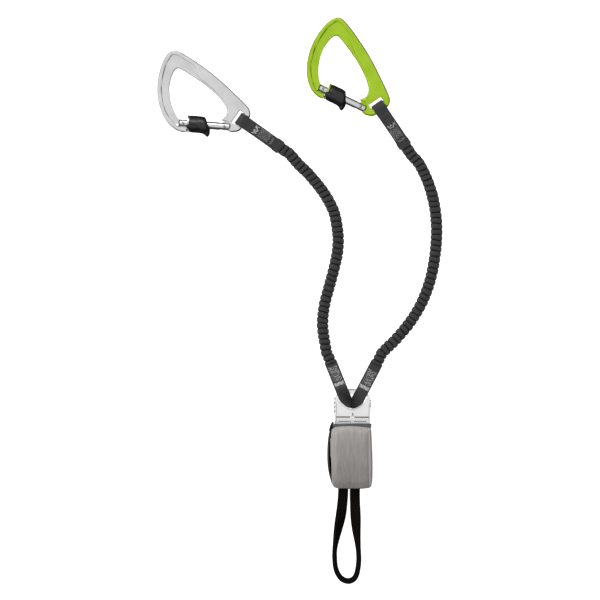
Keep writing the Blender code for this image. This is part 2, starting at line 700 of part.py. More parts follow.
def sleeve_mesh():
    """Moulded sleeve: round, cut off slantwise towards the hinge, with a spur on its outer side."""
    rings = []
    length = SLEEVE_START - SLEEVE_END
    for k, share in enumerate(SLEEVE_STATION_SHARES):
        ring = []
        for i in range(SLEEVE_SIDES):
            angle = 2 * math.pi * i / SLEEVE_SIDES
            end = length + SLEEVE_END_SLANT * -math.cos(angle)
            away = abs(angle - math.pi) / SLEEVE_SPUR_HALF
            spur = SPUR_REACH * SPUR_SHARES[k] * max(0.0, 1 - away ** 2) ** 1.5
            radius = SLEEVE_RADIUS * SLEEVE_RADIUS_SHARES[k] + spur
            x = -SLEEVE_START + end * share
            ring.append((x, radius * math.cos(angle), radius * math.sin(angle)))
        rings.append(ring)
    outer = loft("lock_sleeve", rings)
    tab = arc_points((0, 0), SLEEVE_RADIUS * SLEEVE_RADIUS_SHARES[0], TAB_START, TAB_END, 4)
    tab += arc_points((0, 0), SLEEVE_CUP, TAB_END, TAB_START, 4)
    tab = loft("tab", [[(x, y, z) for y, z in tab]
                       for x in (-SLEEVE_START - TAB_REACH, -SLEEVE_START + SLEEVE_CUP_DEPTH + OVERRUN)])
    cup_end = -SLEEVE_START + SLEEVE_CUP_DEPTH
    bore_end = OVERRUN - SLEEVE_END + SLEEVE_END_SLANT
    cup = turned("cup", [(-SLEEVE_START - OVERRUN, SLEEVE_CUP), (cup_end, SLEEVE_CUP)])
    bore = turned("bore", [(-SLEEVE_START, SLEEVE_BORE), (bore_end, SLEEVE_BORE)])
    half_slot = LIP_WIDTH / 2 + 2 * GAP
    low = (-SLEEVE_START - OVERRUN, -SLEEVE_RADIUS - OVERRUN, -half_slot)
    high = (cup_end, -SLEEVE_BORE, half_slot)
    sleeve = carve_mesh("lock_sleeve", outer, [cup, bore, box_mesh("slot", low, high)])
    sleeve = carve_mesh("lock_sleeve", sleeve, [tab], "UNION")
    sleeve.shade_smooth()
    sleeve.set_sharp_from_angle(angle=math.radians(40.0))
    return sleeve


def ring_mesh():
    """Thin open ring on the sleeve's front. It leaves out the tab and the slot for the nose lip."""
    half_gap = math.asin((LIP_WIDTH / 2 + 2 * GAP) / SLEEVE_CUP)
    start = math.pi + half_gap
    end = 2 * math.pi + TAB_START - GAP / SLEEVE_CUP
    sides = ROUND_SIDES
    outline = arc_points((0, 0), SLEEVE_RADIUS * SLEEVE_RADIUS_SHARES[1], start, end, sides)
    outline += arc_points((0, 0), SLEEVE_CUP, end, start, sides)
    rings = [[(x, y, z) for y, z in outline] for x in (-RING_START, -RING_START + RING_LENGTH)]
    return loft("sleeve_ring", rings, smooth=True)


def bar_loop_mesh(drop, tack):
    """Sewn loop round the connector's bar. Beyond its tack it falls by drop to the gathered arm."""
    half = SEWN_THICKNESS / 2
    lean = math.acos(LOOP_OUTER / BAR_LOOP_NECK) - math.radians(4.0)
    arc = arc_points((0, 0), LOOP_OUTER, lean, 2 * math.pi - lean, 16)
    fall_start = tack + TACK_LENGTH + GAP
    xs = [BAR_LOOP_NECK]
    xs += [fall_start + (BAR_LOOP_LENGTH - fall_start) * k / 5 for k in range(6)]
    middle = [0] + [-drop * smooth_step(k / 5) for k in range(6)]
    outline = arc + [(x, z - half) for x, z in zip(xs, middle)]
    outline += [(x, z + half) for x, z in reversed(list(zip(xs, middle)))]
    hole_tip = BAR_LOOP_NECK - WEBBING_PLY
    hole = arc_points((0, 0), LOOP_INNER, lean, 2 * math.pi - lean, 16) + [(hole_tip, 0)]
    return side_prism("bar_loop", outline, WEBBING_WIDTH / 2, hole)


def smooth_step(t):
    return t * t * (3 - 2 * t)


def strap_rings(stations, half_width):
    """Rings of a flat strap along +X from (x, low, high) stations."""
    edge = half_width - WEBBING_PLY / 2
    rings = []
    for x, low, high in stations:
        soft = (high - low) * WEBBING_EDGE_SHARE
        rings.append([
            (x, -edge, low), (x, edge, low), (x, half_width, low + soft), (x, half_width, high - soft),
            (x, edge, high), (x, -edge, high), (x, -half_width, high - soft), (x, -half_width, low + soft),
        ])
    return rings


def eye_hole_line(inset):
    """The rounded lower edge of the eye's hole from left to right, drawn in by an inset."""
    points = []
    for i in range(EYE_STEPS * 2 + 1):
        angle = math.pi + math.pi * i / (EYE_STEPS * 2)
        power = 2 / EYE_HOLE_POWER
        across = math.copysign(abs(math.cos(angle)) ** power, math.cos(angle))
        down = abs(math.sin(angle)) ** power
        points.append((EYE_CENTRE + (EYE_HOLE_HALF - inset) * across,
                       EYE_HOLE_MIDDLE - (EYE_HOLE_DEPTH - inset) * down))
    return points


def eye_outline():
    """Arched edge of the eye from its left root to its right root."""
    points = [(EYE_CENTRE + x * EYE_WIDTH, EYE_ROOT + y * EYE_REACH) for x, y in EYE_SHARES]
    return smooth_line(points, 2)


def eye_mesh():
    line = [tuple(spot) for spot in eye_outline()]
    outline = [(line[0][0], EYE_ROOT - EYE_TAIL)] + line + [(line[-1][0], EYE_ROOT - EYE_TAIL)]
    hole = eye_hole_line(0.0)
    for i in range(1, EYE_STEPS):
        angle = math.pi * i / EYE_STEPS
        hole.append((EYE_CENTRE + EYE_HOLE_HALF * math.cos(angle),
                     EYE_HOLE_MIDDLE + EYE_HOLE_ARCH * math.sin(angle)))
    cutter = prism("eye_hole", hole, EYE_BOTTOM - OVERRUN, EYE_TOP + OVERRUN)
    return carve_mesh("eye", prism("eye_plate", outline, EYE_BOTTOM, EYE_TOP), [cutter])


def tongue_mesh(start, end, side, tack):
    """Loop of an arm through the eye. It rises to the eye, is sewn up to the tack and opens after it."""
    begin = Vector(start)
    way = Vector(end) - begin
    sewn = EYE_LOOP_PLY
    opening = tack + TACK_LENGTH + GAP
    full = opening + EYE_LOOP_OPENING_RUN
    stations = []
    for k in range(6):
        middle = ARM_HEIGHT + (EYE_HEIGHT - ARM_HEIGHT) * smooth_step(k / 5)
        stations.append((tack * k / 5, middle - sewn, middle + sewn))
    for x, half in ((opening, sewn), (full, EYE_LOOP_HALF), (way.length + OVERRUN, EYE_LOOP_HALF)):
        stations.append((x, EYE_HEIGHT - half, EYE_HEIGHT + half))
    strap = loft("tongue", strap_rings(stations, WEBBING_WIDTH / 2))
    turn = math.atan2(way.y, way.x)
    strap.transform(Matrix.Translation((begin.x, begin.y, 0)) @ Matrix.Rotation(turn, 4, "Z"))
    far = begin.y + WEBBING_WIDTH
    wide = side * (abs(begin.x) + 2 * WEBBING_WIDTH)
    middle_gap = side * GAP / 2
    edge = [point for point in eye_hole_line(SWEEP_GAP) if side * point[0] > GAP]
    if side < 0:
        edge = list(reversed(edge))
    edge[0] = (middle_gap, edge[0][1])
    keep = [(middle_gap, far)] + edge + [(wide, EYE_HOLE_MIDDLE), (wide, far)]
    window = prism("window", keep, 0, 2 * EYE_HEIGHT)
    strap = carve_mesh("tongue", strap, [window], "INTERSECT")
    ceiling = offset_line(eye_outline(), 2 * GAP)
    ceiling = [(spot.x, spot.y) for spot in ceiling if spot.y > EYE_HOLE_MIDDLE]
    room = eye_hole_line(SWEEP_GAP + EYE_LOOP_PLY)
    room = room + [(ceiling[-1][0], EYE_HOLE_MIDDLE)] + ceiling[::-1] + [(ceiling[0][0], EYE_HOLE_MIDDLE)]
    cutter = prism("room", room, EYE_BOTTOM - GAP, EYE_TOP + GAP)
    return carve_mesh("tongue", strap, [cutter])


def pouch_outline(inset, swell):
    """Rounded outline of the pouch, both sides swollen, the left one most."""
    half = POUCH_WIDTH / 2 - inset
    reach = POUCH_TOP - inset
    radii = [max(corner - inset, GAP) for corner in
             (POUCH_LOW_CORNER, POUCH_LOW_CORNER, POUCH_TOP_CORNER, POUCH_TOP_CORNER)]
    corners = rounded_box_outline((-half, -reach), (half, reach), radii)
    low = radii[0] - reach
    high = reach - radii[-1]
    side = [(low + share * (high - low), bow * swell) for share, bow in POUCH_BOW_SHARES]
    middle = len(corners) // 2
    right = [(half + POUCH_BULGE * bow, y) for y, bow in reversed(side)]
    left = [(-half - POUCH_LEAN * bow, y) for y, bow in side]
    return corners[:middle] + right + corners[middle:] + left


def pouch_tray_mesh():
    """Black back and side walls, swollen a little by the folded webbing."""
    outer = []
    for height, swell in POUCH_WALL_SHARES:
        outline = pouch_outline(0.0, swell)
        outer.append([(x, y, height * TRAY_HEIGHT) for x, y in outline])
    inner = []
    for height, swell in POUCH_WALL_SHARES:
        outline = pouch_outline(POUCH_WALL, swell)
        z = POUCH_WALL + height * (TRAY_HEIGHT - POUCH_WALL)
        inner.append([(x, y, z) for x, y in outline])
    inner.append([(x, y, TRAY_HEIGHT + OVERRUN) for x, y, z in inner[-1]])
    room = loft("tray_room", inner)
    mouth_half = EYE_WIDTH / 2 + GAP
    mouth = box_mesh("mouth", (EYE_CENTRE - mouth_half, POUCH_TOP - 2 * POUCH_WALL, EYE_BOTTOM - GAP),
                     (EYE_CENTRE + mouth_half, POUCH_TOP + OVERRUN, EYE_TOP + GAP))
    left = TIE_IN_ROUTE[0][0] - LOOP_WEBBING_WIDTH / 2 - 2 * GAP
    right = TIE_IN_ROUTE[-1][0] + LOOP_WEBBING_WIDTH / 2 + 2 * GAP
    foot_low = LOOP_HEIGHT - LOOP_WEBBING_THICKNESS / 2 - 2 * GAP
    foot_high = LOOP_HEIGHT + LOOP_WEBBING_THICKNESS / 2 + 2 * GAP
    foot = box_mesh("foot", (left, -POUCH_TOP - OVERRUN, foot_low),
                    (right, -POUCH_TOP + 2 * POUCH_WALL, foot_high))
    return carve_mesh("pouch_body", loft("tray", outer), [room, mouth, foot])


def pouch_panel_mesh():
    """Grey-brown front of the pouch: crowned, with a short rim over the side walls."""
    base = TRAY_HEIGHT + GAP
    outer = [[(x, y, base) for x, y in pouch_outline(0.0, 0.0)]]
    depth = POUCH_PANEL_DEPTH - POUCH_CROWN
    for inset_share, rise in PANEL_EDGE_SHARES:
        outline = pouch_outline(inset_share * PANEL_SHOULDER, 0.0)
        outer.append([(x, y, base + rise * depth) for x, y in outline])
    centre_outline = pouch_outline(POUCH_WALL + 2 * PANEL_SHOULDER, 0.0)
    outer.append([(x, y, POUCH_THICKNESS - POUCH_CROWN / 4) for x, y in centre_outline])
    inner_outline = pouch_outline(POUCH_WALL, 0.0)
    small_outline = pouch_outline(POUCH_WALL + PANEL_SHOULDER, 0.0)
    room = loft("panel_room", [
        [(x, y, base - OVERRUN) for x, y in inner_outline],
        [(x, y, base + PANEL_ROOM_SHARE * depth) for x, y in inner_outline],
        [(x, y, base + depth - POUCH_WALL) for x, y in small_outline],
    ])
    return carve_mesh("pouch_front_panel", loft("panel", outer, smooth=True), [room])


def binding_mesh():
    """Dark tape over the pouch's upper edge, above the eye."""
    half = POUCH_WIDTH / 2 - POUCH_TOP_CORNER
    low = POUCH_TOP + GAP
    bottom = TRAY_HEIGHT - BINDING_WIDTH / 2
    top = TRAY_HEIGHT + BINDING_WIDTH
    rings = []
    full = half - BINDING_THICKNESS
    for x, share in ((-half, BINDING_END_SHARE), (-full, 1.0), (full, 1.0), (half, BINDING_END_SHARE)):
        deep = BINDING_THICKNESS * share
        rings.append([(x, low, bottom), (x, low + deep, bottom + deep / 2),
                      (x, low + deep, top - deep / 2), (x, low, top)])
    return loft("pouch_mouth_binding", rings)


def folded_webbing_mesh():
    """Tear webbing folded to and fro in the pouch, one unbroken strip."""
    low = -POUCH_TOP + POUCH_WALL + LOOP_ROOT_DEPTH
    high = EYE_ROOT - EYE_TAIL - GAP
    pitch = (TRAY_HEIGHT - POUCH_WALL - 2 * GAP) / FOLD_COUNT
    bottoms = [POUCH_WALL + GAP + k * pitch for k in range(FOLD_COUNT)]
    tops = [bottom + FOLD_PLY for bottom in bottoms]
    outline = []
    for k in range(0, FOLD_COUNT, 2):
        outline += [(low + (FOLD_PLY if k else 0), bottoms[k]), (high, bottoms[k]), (high, tops[k + 1])]
        outline.append((low + (FOLD_PLY if k + 2 < FOLD_COUNT else 0), tops[k + 1]))
    for k in range(FOLD_COUNT - 1, 0, -2):
        outline += [(low, bottoms[k]), (high - FOLD_PLY, bottoms[k])]
        outline += [(high - FOLD_PLY, tops[k - 1]), (low, tops[k - 1])]
    mesh = side_prism("tear_webbing_pack", outline, FOLD_WIDTH / 2)
    return moved_mesh(mesh, Matrix.Rotation(math.pi / 2, 4, "Z"))


def tie_in_mesh():
    """Flat strands at the pouch, turned on edge round the bottom of the loop."""
    root = -POUCH_TOP + POUCH_WALL + LOOP_ROOT_DEPTH - GAP
    points = [(TIE_IN_ROUTE[0][0], root)] + TIE_IN_ROUTE + [(TIE_IN_ROUTE[-1][0], root)]
    line = spaced_line(smooth_line(points, 6), [k / LOOP_STATIONS for k in range(LOOP_STATIONS + 1)])
    half_width = LOOP_WEBBING_WIDTH / 2
    half_ply = LOOP_WEBBING_THICKNESS / 2
    standing = half_width * math.sin(LOOP_TWIST) + half_ply * math.cos(LOOP_TWIST)
    lowest = min(spot.y for spot in line)
    twist_start, twist_end = LOOP_TWIST_SHARES
    edge = LOOP_EDGE_SHARE
    rings = []
    for k, spot in enumerate(line):
        way = line[min(k + 1, LOOP_STATIONS)] - line[max(k - 1, 0)]
        along = Vector((way.x, way.y, 0)).normalized()
        side = along.cross(Vector((0, 0, 1)))
        depth = (-POUCH_TOP - spot.y) / (-POUCH_TOP - lowest)
        share = smooth_step(min(max((depth - twist_start) / (twist_end - twist_start), 0.0), 1.0))
        turn = LOOP_TWIST * share
        broad = side * math.cos(turn) + Vector((0, 0, 1)) * math.sin(turn)
        thin = along.cross(broad)
        middle = Vector((spot.x, spot.y, LOOP_HEIGHT + (standing - LOOP_HEIGHT) * share))
        ring = []
        for across, through in ((-1, -0.5), (-edge, -1), (edge, -1), (1, -0.5),
                                (1, 0.5), (edge, 1), (-edge, 1), (-1, 0.5)):
            ring.append(middle + broad * (across * half_width) + thin * (through * half_ply))
        rings.append(ring)
    return loft("tie_in_loop", rings, smooth=True)


def arm_line(route, loop_end, loop_way, arm_end, arm_way):
    """Smooth line of an arm with a straight run square to both sewn loops."""
    out_run = Vector(loop_way) * 2 * ARM_HALF_WIDTH
    in_run = Vector(arm_way) * 2 * ARM_HALF_WIDTH
    first = Vector(loop_end) + Vector(loop_way) * GAP
    last = Vector(arm_end) - Vector(arm_way) * GAP
    free = 3 * ARM_HALF_WIDTH
    points = [first, first + out_run / 2, first + out_run]
    points += [Vector(spot) for spot in route
               if (Vector(spot) - first).length > free and (Vector(spot) - last).length > free]
    points += [last - in_run, last - in_run / 2, last]
    return smooth_line([(spot.x, spot.y) for spot in points], 8)


def rib_profile():
    """Oval that the gathered sleeve is drawn along."""
    curve = bpy.data.curves.new("arm_profile", "CURVE")
    curve.dimensions = "2D"
    spline = curve.splines.new("POLY")
    sides = 8
    spline.points.add(sides - 1)
    for i in range(sides):
        angle = 2 * math.pi * (i + 0.5) / sides
        spline.points[i].co = (ARM_HALF_WIDTH * math.cos(angle), ARM_HALF_HEIGHT * math.sin(angle), 0, 1)
    spline.use_cyclic_u = True
    guide = link_object("arm_profile_guide", curve)
    guide.hide_render = True
    guide.display_type = "WIRE"
    return guide


def lifted(line):
    return [(spot.x, spot.y, ARM_HEIGHT) for spot in line]


def arm_meshes(line, guide):
    """Gathered sleeve with its bore, and the elastic core."""
    count = 2 * ARM_RIBS
    shares = [k / count for k in range(count + 1)]
    radii = [RIB_VALLEY_SHARE if k % 2 == 0 else 1.0 for k in range(count + 1)]
    sleeve = tube_mesh("arm_sleeve", lifted(spaced_line(line, shares)), 0, 0, radii, guide)
    core_shares = [k / BORE_STEPS for k in range(BORE_STEPS + 1)]
    core_line = spaced_line(line, core_shares)
    first = core_line[0] + (core_line[0] - core_line[1]).normalized() * OVERRUN
    last = core_line[-1] + (core_line[-1] - core_line[-2]).normalized() * OVERRUN
    bore = tube_mesh("arm_bore", lifted([first] + core_line[1:-1] + [last]), BORE_IN_SLEEVE, 2)
    sleeve = carve_mesh("arm_sleeve", sleeve, [bore])
    core = tube_mesh("arm_elastic", lifted(core_line), ELASTIC_RADIUS, 2)
    return sleeve, core


def build_connector(prefix, spot, turn, paint, metal, plastic, steel, ring_paint):
    """One connector with its gate and locking sleeve. Gives the bar's place in the world."""
    swing = link_object(prefix + "_swing_axis", None)
    facing = Matrix.Rotation(turn, 4, "Z")
    bar = facing @ Vector((BAR_SPOT[0], BAR_SPOT[1], 0))
    bar += Vector((spot[0], spot[1], CONNECTOR_HEIGHT))
    swing.location = bar
    swing.rotation_euler = (0, 0, turn)
    back = (-BAR_SPOT[0], -BAR_SPOT[1], 0)
    place(prefix + "_carabiner_body", connector_body_mesh(), paint, swing, back)
    place(prefix + "_gate_hinge_rivet", rivet_mesh(HINGE_RIVET_RADIUS), steel, swing, back)
    hinge = link_object(prefix + "_gate_axis", None)
    hinge.parent = swing
    hinge.location = back
    place(prefix + "_gate", gate_mesh(), metal, hinge)
    place(prefix + "_gate_latch_rivet", rivet_mesh(LATCH_RIVET_RADIUS), steel, hinge, (-HINGE_TO_LATCH, 0, 0))
    place(prefix + "_gate_plunger", plunger_mesh(), steel, hinge)
    place(prefix + "_gate_spring", spring_mesh(), steel, hinge)
    place(prefix + "_lock_sleeve", sleeve_mesh(), plastic, hinge)
    place(prefix + "_sleeve_ring", ring_mesh(), ring_paint, hinge)
    return bar


def build_arm(prefix, bar, turn, route, arm_end, tongue_end, tacks, guide, webbing, elastic, thread):
    """Bar loop, gathered sleeve, elastic core, eye loop and the two bar tacks of one arm."""
    loop_turn = turn + SLOT_TURN
    drop = CONNECTOR_HEIGHT - ARM_HEIGHT
    place(prefix + "_arm_carabiner_loop", bar_loop_mesh(drop, tacks[0]), webbing, None, bar, loop_turn)
    loop_way = (math.cos(loop_turn), math.sin(loop_turn))
    loop_end = (bar.x + loop_way[0] * BAR_LOOP_LENGTH, bar.y + loop_way[1] * BAR_LOOP_LENGTH)
    way = (Vector(tongue_end) - Vector(arm_end)).normalized()
    line = arm_line(route, loop_end, loop_way, arm_end, (way.x, way.y))
    length = sum((b - a).length for a, b in zip(line, line[1:]))
    print(prefix, "arm: gathered length", round(length, 4), "with", ARM_RIBS, "ribs")
    sleeve, core = arm_meshes(line, guide)
    place(prefix + "_arm_sleeve", sleeve, webbing)
    place(prefix + "_arm_elastic_core", core, elastic)
    side = math.copysign(1, arm_end[0])
    place(prefix + "_arm_absorber_loop", tongue_mesh(arm_end, tongue_end, side, tacks[1]), webbing)
    build_tacks(prefix, bar, loop_turn, arm_end, way, tacks, thread)


def build_tacks(prefix, bar, loop_turn, arm_end, way, tacks, thread):
    """Blocks of thread that close the two sewn loops."""
    block = box_mesh("tack", (0, -TACK_WIDTH / 2, 0), (TACK_LENGTH, TACK_WIDTH / 2, TACK_THICKNESS))
    upper = bar + Vector((math.cos(loop_turn), math.sin(loop_turn), 0)) * tacks[0]
    upper.z += SEWN_THICKNESS / 2 + GAP
    place(prefix + "_arm_upper_bar_tack", block.copy(), thread, None, upper, loop_turn)
    lower = Vector((arm_end[0] + way.x * tacks[1], arm_end[1] + way.y * tacks[1], 0))
    lower.z = EYE_HEIGHT + EYE_LOOP_PLY + GAP
    place(prefix + "_arm_lower_bar_tack", block.copy(), thread, None, lower, math.atan2(way.y, way.x))


def build():
    clear_scene()
    silver = make_material("bare_forged_aluminium", (0.80, 0.80, 0.81), 0.9, 0.38)
    green = make_material("green_anodised_aluminium", (0.38, 0.60, 0.03), 0.6, 0.36)
    bright = make_material("polished_gate_bar", (0.74, 0.74, 0.76), 1.0, 0.22)
    steel = make_material("rivet_steel", (0.55, 0.55, 0.56), 1.0, 0.30)
    plastic = make_material("black_moulded_plastic", (0.025, 0.025, 0.027), 0.0, 0.38)
    webbing = make_material("black_webbing", (0.035, 0.035, 0.038), 0.0, 0.85)
    elastic = make_material("rubber_core", (0.10, 0.10, 0.10), 0.0, 0.70)
    thread = make_material("grey_thread", (0.35, 0.35, 0.36), 0.0, 0.80)
    white = make_material("white_tear_webbing", (0.86, 0.86, 0.85), 0.0, 0.80)
    fabric = make_material("grey_brown_pouch_fabric", (0.38, 0.355, 0.335), 0.0, 0.90)
    side_fabric = make_material("black_pouch_fabric", (0.03, 0.03, 0.032), 0.0, 0.90)
    tape = make_material("dark_grey_binding", (0.10, 0.10, 0.105), 0.0, 0.85)

    silver_bar = build_connector("silver", SILVER_PLACE, SILVER_TURN, silver, bright, plastic, steel, bright)
    green_bar = build_connector("green", GREEN_PLACE, GREEN_TURN, green, bright, plastic, steel, green)
    guide = rib_profile()
    build_arm("silver", silver_bar, SILVER_TURN, SILVER_ARM_ROUTE, SILVER_ARM_END, SILVER_TONGUE_END,
              (SILVER_UPPER_TACK, SILVER_LOWER_TACK), guide, webbing, elastic, thread)
    build_arm("green", green_bar, GREEN_TURN, GREEN_ARM_ROUTE, GREEN_ARM_END, GREEN_TONGUE_END,
              (GREEN_UPPER_TACK, GREEN_LOWER_TACK), guide, webbing, elastic, thread)

    place("absorber_eye", eye_mesh(), white)
    place("tear_webbing_pack", folded_webbing_mesh(), white)
    place("pouch_body", pouch_tray_mesh(), side_fabric)
    place("pouch_front_panel", pouch_panel_mesh(), fabric)
    place("pouch_mouth_binding", binding_mesh(), tape)
    place("tie_in_loop", tie_in_mesh(), webbing)


build()
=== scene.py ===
# %% [markdown]
# # A via ferrata lanyard, lying flat
# A via ferrata lanyard joins a climber's harness to the steel cable of a route. Two elastic arms
# end in locking carabiners. Both arms loop through the white sewn eye of an energy absorber, whose
# tear webbing is folded in a small pouch, and a black webbing loop below the pouch is hitched to the
# harness. This lesson dresses the finished CAD model: metal and plastic get fine edges and real
# finishes, and everything soft is rebuilt as cloth, webbing and thread.

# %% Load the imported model
import math

import bmesh
import bpy
from mathutils import Matrix, Vector
from mathutils.bvhtree import BVHTree


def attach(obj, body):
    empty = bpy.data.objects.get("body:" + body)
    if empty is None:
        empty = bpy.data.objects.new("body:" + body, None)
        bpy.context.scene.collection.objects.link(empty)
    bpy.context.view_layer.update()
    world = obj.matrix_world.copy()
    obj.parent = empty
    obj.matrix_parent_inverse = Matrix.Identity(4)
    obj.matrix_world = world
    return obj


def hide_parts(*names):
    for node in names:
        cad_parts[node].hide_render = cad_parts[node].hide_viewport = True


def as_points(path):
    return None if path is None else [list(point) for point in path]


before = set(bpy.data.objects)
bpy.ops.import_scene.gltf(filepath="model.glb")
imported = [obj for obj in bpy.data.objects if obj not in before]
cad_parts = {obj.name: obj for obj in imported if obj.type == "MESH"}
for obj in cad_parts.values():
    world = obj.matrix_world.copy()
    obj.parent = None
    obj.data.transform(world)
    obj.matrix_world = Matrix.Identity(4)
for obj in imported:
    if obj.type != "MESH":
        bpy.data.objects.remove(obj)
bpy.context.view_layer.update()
scene = bpy.context.scene

# %% [markdown]
# ## The camera
# The photograph looks straight down on the lanyard, so the camera hangs high above it with a long
# lens, which keeps the sides of the tall parts from leaning outwards. One pixel of the photograph is
# 1.2 mm here, so 600 pixels take in 720 mm.

# %% Camera
VIEW_WIDTH = 0.720
VIEW_MIDDLE = Vector((-0.0618, 0.1884, 0.0100))
CAMERA_RISE = 3.0
eye = bpy.data.cameras.new("photograph_camera")
eye.sensor_width = 36.0
eye.lens = eye.sensor_width * CAMERA_RISE / VIEW_WIDTH
camera = bpy.data.objects.new("photograph_camera", eye)
camera.location = VIEW_MIDDLE + Vector((0, 0, CAMERA_RISE))
scene.collection.objects.link(camera)
scene.camera = camera
print("lens", round(eye.lens, 1), "mm at", CAMERA_RISE, "m")

# %% [markdown]
# ## Node helpers
# Finishes and repeated parts are both made of nodes. A finish starts from one Principled shader, and
# each number that is the same all over is set on the shader itself. `NodeBench` adds a node, sets its
# values and wires in whatever socket it is given, so that a pattern reads like a short recipe.


# %% A bench for shader and geometry nodes
class NodeBench:
    """Adds nodes to one tree and wires them up."""

    def __init__(self, tree):
        self.tree = tree

    def add(self, kind, values=None, **settings):
        node = self.tree.nodes.new(kind)
        for key, value in settings.items():
            setattr(node, key, value)
        for key, value in (values or {}).items():
            if isinstance(value, bpy.types.NodeSocket):
                self.tree.links.new(value, node.inputs[key])
            else:
                node.inputs[key].default_value = value
        return node

    def maths(self, operation, *terms):
        """One arithmetic step. Terms are numbers or sockets."""
        kind = "ShaderNodeMath"
        return self.add(kind, dict(enumerate(terms)), operation=operation).outputs[0]

    def plus(self, first, *others):
        for other in others:
            first = self.maths("ADD", first, other)
        return first

    def times(self, first, *others):
        for other in others:
            first = self.maths("MULTIPLY", first, other)
        return first


def start_finish(name, colour, roughness, metallic=0.0, specular=0.5):
    """A material with its Principled shader, and a bench for its nodes."""
    material = bpy.data.materials.new(name)
    material.use_nodes = True
    bench = NodeBench(material.node_tree)
    shader = material.node_tree.nodes["Principled BSDF"]
    shader.inputs["Base Color"].default_value = (*colour, 1.0)
    shader.inputs["Roughness"].default_value = roughness
    shader.inputs["Metallic"].default_value = metallic
    shader.inputs["Specular IOR Level"].default_value = specular
    return material, bench, shader


def wire(bench, output, shader, socket):
    bench.tree.links.new(output, shader.inputs[socket])


def object_place(bench):
    return bench.add("ShaderNodeTexCoord").outputs["Object"]


def measure(bench, name):
    """A number stored on the mesh."""
    return bench.add("ShaderNodeAttribute", attribute_name=name).outputs["Fac"]


def speckle(bench, place, scale, detail=2.0):
    """Even noise from 0 to 1. Scale is in blobs to the metre."""
    values = {"Vector": place, "Scale": scale, "Detail": detail, "Roughness": 0.5}
    return bench.add("ShaderNodeTexNoise", values).outputs["Fac"]


def two_tones(bench, share, dark, light, low=0.3, high=0.7):
    """Colour between two tones, by a share."""
    ramp = bench.add("ShaderNodeValToRGB", {"Fac": share})
    ramp.color_ramp.elements[0].position = low
    ramp.color_ramp.elements[0].color = (*dark, 1.0)
    ramp.color_ramp.elements[1].position = high
    ramp.color_ramp.elements[1].color = (*light, 1.0)
    return ramp.outputs["Color"]


def relief(bench, shader, height, distance, strength=1.0):
    values = {"Height": height, "Distance": distance, "Strength": strength}
    bump = bench.add("ShaderNodeBump", values)
    wire(bench, bump.outputs["Normal"], shader, "Normal")


# %% [markdown]
# ## Metals and moulded plastic
# The silver body is forged and tumbled, so it is satin with a very fine grain. The lime body is the
# same forging, anodised: the dye sits in the oxide, so the metal's own reflection is tinted. The gate
# bar is polished and its rivets are steel. The sleeve is taken for moulded nylon, black and half matt.

# %% Metal and plastic finishes
def mixed(bench, share, first, second):
    """Colour that goes from the first to the second by a share. The second is a plain colour."""
    mix = bench.add("ShaderNodeMix", data_type="RGBA")
    bench.tree.links.new(share, mix.inputs[0])
    bench.tree.links.new(first, mix.inputs[6])
    mix.inputs[7].default_value = (*second, 1.0)
    return mix.outputs[2]


def drifting_roughness(bench, shader, share, low, high):
    """Roughness that drifts between two values by a share."""
    drift = bench.add("ShaderNodeMapRange", {"Value": share, "To Min": low, "To Max": high})
    wire(bench, drift.outputs["Result"], shader, "Roughness")


def tumbled_metal(name, dark, light, edge_shade_tone, roughness, metallic):
    """Satin forging. Its rounded edges, marked by `edge`, get painted shade."""
    material, bench, shader = start_finish(name, light, roughness, metallic)
    place = object_place(bench)
    cloudy = speckle(bench, place, 60.0, 3.0)
    face = two_tones(bench, cloudy, dark, light, 0.3, 0.65)
    wire(bench, mixed(bench, measure(bench, "edge"), face, edge_shade_tone), shader, "Base Color")
    grain = speckle(bench, place, 3200.0, 2.0)
    drifting_roughness(bench, shader, cloudy, roughness - 0.04, roughness + 0.05)
    relief(bench, shader, grain, 0.00003, 0.5)
    return material


# The third colour of each finish is the painted shade on its rounded edges.
BARE_METAL = tumbled_metal("satin_forging", (0.61, 0.61, 0.615), (0.69, 0.69, 0.695),
                           (0.050, 0.050, 0.053), 0.36, 0.88)
LIME_METAL = tumbled_metal("lime_anodising", (0.34, 0.54, 0.022), (0.40, 0.61, 0.030),
                           (0.10, 0.13, 0.010), 0.33, 0.78)


def drawn_metal(name, colour, roughness):
    """Bar that was turned and polished, with a fine grain and roughness that drifts a little."""
    material, bench, shader = start_finish(name, colour, roughness, 1.0)
    place = object_place(bench)
    fine = speckle(bench, place, 2400.0, 2.0)
    soft = speckle(bench, place, 220.0, 2.0)
    drifting_roughness(bench, shader, soft, roughness * 0.8, roughness * 1.4)
    relief(bench, shader, fine, 0.00002, 0.35)
    return material


POLISHED_METAL = drawn_metal("bright_gate_bar", (0.66, 0.66, 0.67), 0.14)
RIVET_METAL = drawn_metal("rivet_head_steel", (0.34, 0.34, 0.35), 0.24)
RING_METAL = drawn_metal("sleeve_ring_metal", (0.52, 0.52, 0.53), 0.20)


def moulded_black():
    material, bench, shader = start_finish("moulded_nylon", (0.008, 0.008, 0.0085), 0.27)
    place = object_place(bench)
    grain = speckle(bench, place, 1600.0, 3.0)
    patches = speckle(bench, place, 180.0, 2.0)
    drifting_roughness(bench, shader, patches, 0.22, 0.34)
    tone = two_tones(bench, patches, (0.006, 0.006, 0.0065), (0.011, 0.011, 0.0115))
    wire(bench, tone, shader, "Base Color")
    relief(bench, shader, grain, 0.00004, 0.4)
    return material


SLEEVE_BLACK = moulded_black()
print("metals and plastic:", BARE_METAL.name, LIME_METAL.name, POLISHED_METAL.name, SLEEVE_BLACK.name)

# %% [markdown]
# ## Webbing, thread and cloth
# Webbing is woven from thick bundles, so its face shows small ribs across the strap and straight
# columns along it. Each strap carries two measures on its points, `along` and `across`, in metres.
# The weave is drawn from those, so it follows every bend. Plain cloth has no such measures and takes
# its threads from its place on the object.

